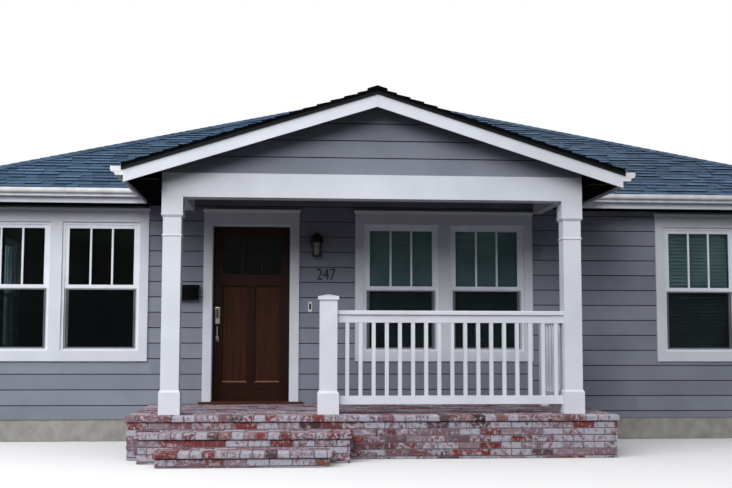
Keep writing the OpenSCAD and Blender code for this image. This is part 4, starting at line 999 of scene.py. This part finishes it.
rose = turned("rose", [
    (0.032, 0), (0.032, 0.006), (0.029, 0.010), (0.012, 0.010), (0.009, 0.014), (0.009, 0.043),
], 48)
place(rose, (grip_x, leaf_back + hairline, lever_z), to_room)
lever = block("lever", (-0.009, 0.036, -0.010), (0.111, 0.050, 0.010), ease=0.004, rounds=3)
place(lever, (grip_x, leaf_back, lever_z))
lockset = join("lock_and_handle", [lock, plug, shoe, bow, rose, lever])
smooth(lockset)
fit(lockset, "satin_nickel", nickel, body="door", nodes=("door_handle",))

keypad = block("keypad_and_keys", (-0.022, -0.0255, 0.075), (0.022, -0.0235, 0.190), ease=0.0008)
place(keypad, (grip_x, leaf_face, lock_z))
fit(keypad, "black_metal", gloss, body="door")
keys = turned("lock_keys", [(0.0062, 0), (0.0062, 0.0012), (0.0052, 0.0018)], 16)
place(keys, (-0.010, -0.0255, 0.090), to_street)
repeat(keys, 2, (0.020, 0, 0))
repeat(keys, 5, (0, 0, 0.021))
place(keys, (grip_x, leaf_face, lock_z))
fit(keys, "satin_nickel", nickel, body="door")


# WINDOW FRAMES, BARS AND BLINDS
# Double-hung windows of extruded vinyl, welded at the corners. The upper sash has two upright bars
# that make three lites. Slatted blinds hang behind the porch windows and the right window.

# White vinyl: cool white with a soft shine and faint grime in patches of a hand's length
vinyl = clouded("white_vinyl", 6, 5, [(0.3, "#d9dee8"), (0.65, "#e5eaf3")], Roughness=0.32)
give(vinyl, "front_windows", "side_windows")

pair_step = 0.5125
front_places = [
    left_pair_x - pair_step, left_pair_x + pair_step, porch_pair_x - pair_step, porch_pair_x + pair_step,
    single_x,
]
windows = [(x, wall_y, 0) for x in front_places]
for y in side_places:
    windows += [(house_r, wall_y + y, 90), (house_l, wall_y + y, -90)]
windows += [(x, back_y, 180) for x in back_places]


def in_windows(name, pattern, places):
    """Copies what was made for a window at x 0 in a wall facing -y into the windows at some places."""
    copies = []
    for x, y, heading in places:
        hold(pattern)
        bpy.ops.object.duplicate()
        copy = bpy.context.object
        place(copy, (x, y, 0), (0, 0, math.radians(heading)))
        copies.append(copy)
    bpy.data.objects.remove(pattern)
    return join(name, copies)


bar_w, glass_w, glass_low, glass_high = 0.024, 0.744, deck_z + 1.372, deck_z + 2.028
bars = []
for middle in (-glass_w / 6, glass_w / 6):
    for near, far in ((0.019, 0.0268), (0.0332, 0.041)):
        low, high = (middle - bar_w / 2, near, glass_low), (middle + bar_w / 2, far, glass_high)
        bars.append(block("bar", low, high, ease=0.003, rounds=2))
fit(in_windows("window_bars", join("bars", bars), windows), "window_vinyl", vinyl)

# Half screens: a rolled frame in the track before each lower sash, with fly mesh pressed into it.
# Enamelled aluminium: plain light grey, satin, chalked in patches of 80 mm
screen_metal = clouded(
    "grey_enamelled_aluminium", 12, 3, [(0.3, "#a3a5ae"), (0.7, "#b0b2bb")],
    Roughness=0.45, Specular_IOR_Level=0.3,
)

# Black fly mesh: it dims what is behind it. The weave of 1.4 mm is too fine to draw, so the sheet
# only covers as much as its threads do, a little more where it sags
fly_mesh, tree, shader, where = finish("black_fly_mesh", Roughness=0.8, Specular_IOR_Level=0.0)
sag = put(tree, "TexNoise", where, Scale=5, Detail=2)
colour = put(tree, "ValToRGB", sag, ramp=[(0.3, "#0f1213"), (0.7, "#141719")])
threads = put(tree, "MapRange", sag, From_Min=0.3, From_Max=0.7, To_Min=0.36, To_Max=0.40)
feed(shader, Base_Color=colour, Alpha=threads)

screen_half, rail_w, screen_low, screen_high = 0.4130, 0.014, deck_z + 0.627, deck_z + 1.329
screen_y, screen_back = 0.030, 0.040
mesh_half, mesh_low, mesh_high = screen_half - rail_w, screen_low + rail_w, screen_high - rail_w
strips = [
    block("rail", (-screen_half, screen_y, low), (screen_half, screen_back, high))
    for low, high in ((screen_low, mesh_low), (mesh_high, screen_high))
] + [
    block("side", (way * screen_half, screen_y, mesh_low), (way * mesh_half, screen_back, mesh_high))
    for way in (-1, 1)
]
ring = join("ring", strips)
apply(ring, "BEVEL", width=0.0015, segments=1)
sheet = block("sheet", (-mesh_half, 0.0348, mesh_low), (mesh_half, 0.0352, mesh_high))
fit(in_windows("screen_frames", ring, windows), "window_vinyl", screen_metal)
fit(in_windows("screen_mesh", sheet, windows), "window_vinyl", fly_mesh)

# Painted aluminium slats: a flat grey-white, faded unevenly over a forearm's length
slats = clouded("painted_blind_slats", 4, 2, [(0.3, "#a9b0b0"), (0.7, "#b6bcbc")], Roughness=0.5)
slat = block("slat", (-0.39, -0.025, -0.0013), (0.39, 0.025, 0.0013), ease=0.0010)
place(slat, (0, 0.118, deck_z + 0.670), (math.radians(55), 0, 0))
repeat(slat, 33, (0, 0, 0.0420))
head_rail = block("head", (-0.395, 0.098, deck_z + 2.06), (0.395, 0.138, deck_z + 2.095), ease=0.002)
foot_rail = block("foot", (-0.39, 0.108, deck_z + 0.625), (0.39, 0.128, deck_z + 0.64), ease=0.002)
blind = join("blind", [slat, head_rail, foot_rail])
fit(in_windows("window_blinds", blind, windows[2:5]), "window_vinyl", slats)


# LANTERN, MAILBOX, DOORBELL AND HOUSE NUMBER
# The lantern and the digits are cast, and the mailbox is folded sheet, all of them black. They are
# screwed to the siding beside the door, and so is the bell, a moulded plate.

# Powder coat: black, satin, with the orange peel of baked powder, drawn at 2.5 mm so that it shows
powder = clouded(
    "black_powder_coat", 400, 2, [(0.3, "#08090a"), (0.7, "#101113")], relief=(400, 2, 0.3, 0.0005),
    Roughness=0.4, Specular_IOR_Level=0.2,
)

number_low, number_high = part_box("house_number")
bpy.ops.object.text_add(location=(0, 0, 0))
text = bpy.context.object.data
text.body = "247"
text.extrude = 0.005
text.offset = -0.002
text.bevel_depth = 0.0006
text.resolution_u = 6
bpy.ops.object.convert(target="MESH")
digits = bpy.context.object
digits.name = "house_number_digits"
corners = [vertex.co for vertex in digits.data.vertices]
wide, tall = (max(c[i] for c in corners) - min(c[i] for c in corners) for i in (0, 1))
digits.scale = ((number_high.x - number_low.x) / wide, (number_high.z - number_low.z + 0.008) / tall, 1)
bpy.ops.object.transform_apply()
left_end, foot_line = min(c.x for c in corners), min(c.y for c in corners)
place(digits, (number_low.x - left_end, wall_y - 0.0190, number_low.z - 0.006 - foot_line), to_street)
fit(digits, "black_metal", powder, nodes=("house_number",))

# Lantern: a cast back plate and arm carry a seeded glass between ribs, under a spun hood
lamp_low, lamp_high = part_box("lantern")
lamp_x, lamp_y, lamp_z = (lamp_low.x + lamp_high.x) / 2, lamp_low.y + 0.078, lamp_low.z
plate = block("plate", (-0.045, -0.012, 0.060), (0.045, 0, 0.230), ease=0.005, rounds=2)
arm = block("arm", (-0.010, -0.085, 0.176), (0.010, -0.008, 0.192), ease=0.004, rounds=2)
for part in (plate, arm):
    place(part, (lamp_x, wall_y, lamp_z))
hood = turned("hood", [
    (0.060, 0.158), (0.0775, 0.160), (0.078, 0.168), (0.0755, 0.174), (0.074, 0.196), (0.069, 0.216),
    (0.060, 0.236), (0.049, 0.252), (0.036, 0.265), (0.022, 0.272), (0.010, 0.275), (0.008, 0.278),
    (0.010, 0.281), (0.008, 0.285), (0.003, 0.287),
], 40)
pan = turned("pan", [(0.010, 0), (0.050, 0.002), (0.0546, 0.008), (0.0546, 0.018), (0.050, 0.022)], 40)
band = turned("band", [(0.0570, 0.104), (0.0640, 0.104), (0.0650, 0.118), (0.0580, 0.118)], 40)
ribs = []
for i in range(4):
    rib = block("rib", (0.0495, -0.006, 0.014), (0.0570, 0.006, 0.162))
    work(rib, "FACE", lambda at, normal: normal.z > 0.9, value=(0.013, 0, 0))
    place(rib, (0, 0, 0), (0, 0, math.radians(90 * i + 45)))
    ribs.append(rib)
cage = join("cage", [hood, pan, band] + ribs)
place(cage, (lamp_x, lamp_y, lamp_z))
lantern = join("lantern_frame", [cage, plate, arm])
smooth(lantern)
fit(lantern, "black_metal", powder, nodes=("lantern",))

# Seeded glass, unlit: smoky, and too cloudy to see through. Its bubbles of 3 mm don't show at this
# distance, so they are drawn as cloudy spots of 20 mm
seeded = clouded(
    "seeded_pale_glass", 45, 4, [(0.35, "#262829"), (0.7, "#3a3c3d")],
    Roughness=0.25, Specular_IOR_Level=0.4,
)
globe = turned("lantern_glass", [(0.0490, 0.018), (0.0560, 0.090), (0.0620, 0.162)], 40)
place(globe, (lamp_x, lamp_y, lamp_z))
fit(globe, "black_metal", seeded)

# Mailbox: a folded sheet box with a sloping lid that laps the front, in gloss enamel
box_low, box_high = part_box("mailbox")
tub = block("tub", (-0.181, -0.099, 0), (0.181, 0, 0.170))
work(tub, "EDGE", lambda at: at.y < -0.09 and at.z > 0.16, value=(0, 0, -0.040))
apply(tub, "BEVEL", width=0.004, segments=2)
lid = block("lid", (-0.185, -0.108, 0.1725), (0.185, 0, 0.1750))
cut(lid, [((0, -0.030, 0), (0, 1, 0))], through=False)
work(lid, "VERT", lambda at: at.y < -0.1, value=(0, 0, -0.036))
lip = block("lip", (-0.185, -0.108, 0.118), (0.185, -0.1055, 0.1385), ease=0.0008)
tab = block("tab", (-0.018, -0.1075, 0.108), (0.018, -0.1055, 0.120), ease=0.0008)
mailbox = join("mailbox_and_lid", [tub, lid, lip, tab])
place(mailbox, ((box_low.x + box_high.x) / 2, wall_y, box_low.z))
fit(mailbox, "black_metal", gloss, nodes=("mailbox",))

# Moulded plastic: smooth white with a low shine, clouded where the melt flowed
moulded = clouded("moulded_white_plastic", 30, 2, [(0.3, "#d2d2d4"), (0.7, "#dadadd")], Roughness=0.35)
give(moulded, "doorbell")
bell_low, bell_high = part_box("doorbell")
bell_x, bell_z = (bell_low.x + bell_high.x) / 2, (bell_low.z + bell_high.z) / 2
lens = block("doorbell_lens", (-0.011, -0.0014, -0.036), (0.011, 0.001, 0.036))
work(lens, "EDGE", lambda at: abs(at.x) > 0.01 and abs(at.z) > 0.03,
     bpy.ops.mesh.bevel, offset=0.0105, segments=5)
place(lens, (bell_x, bell_low.y, bell_z + 0.002))
fit(lens, "bell_plastic", gloss)
button = turned("doorbell_button", [(0.0085, 0), (0.0085, 0.002), (0.0075, 0.003)], 24)
place(button, (bell_x, bell_low.y - 0.0005, bell_z - 0.047), to_street)
fit(button, "bell_plastic", moulded)
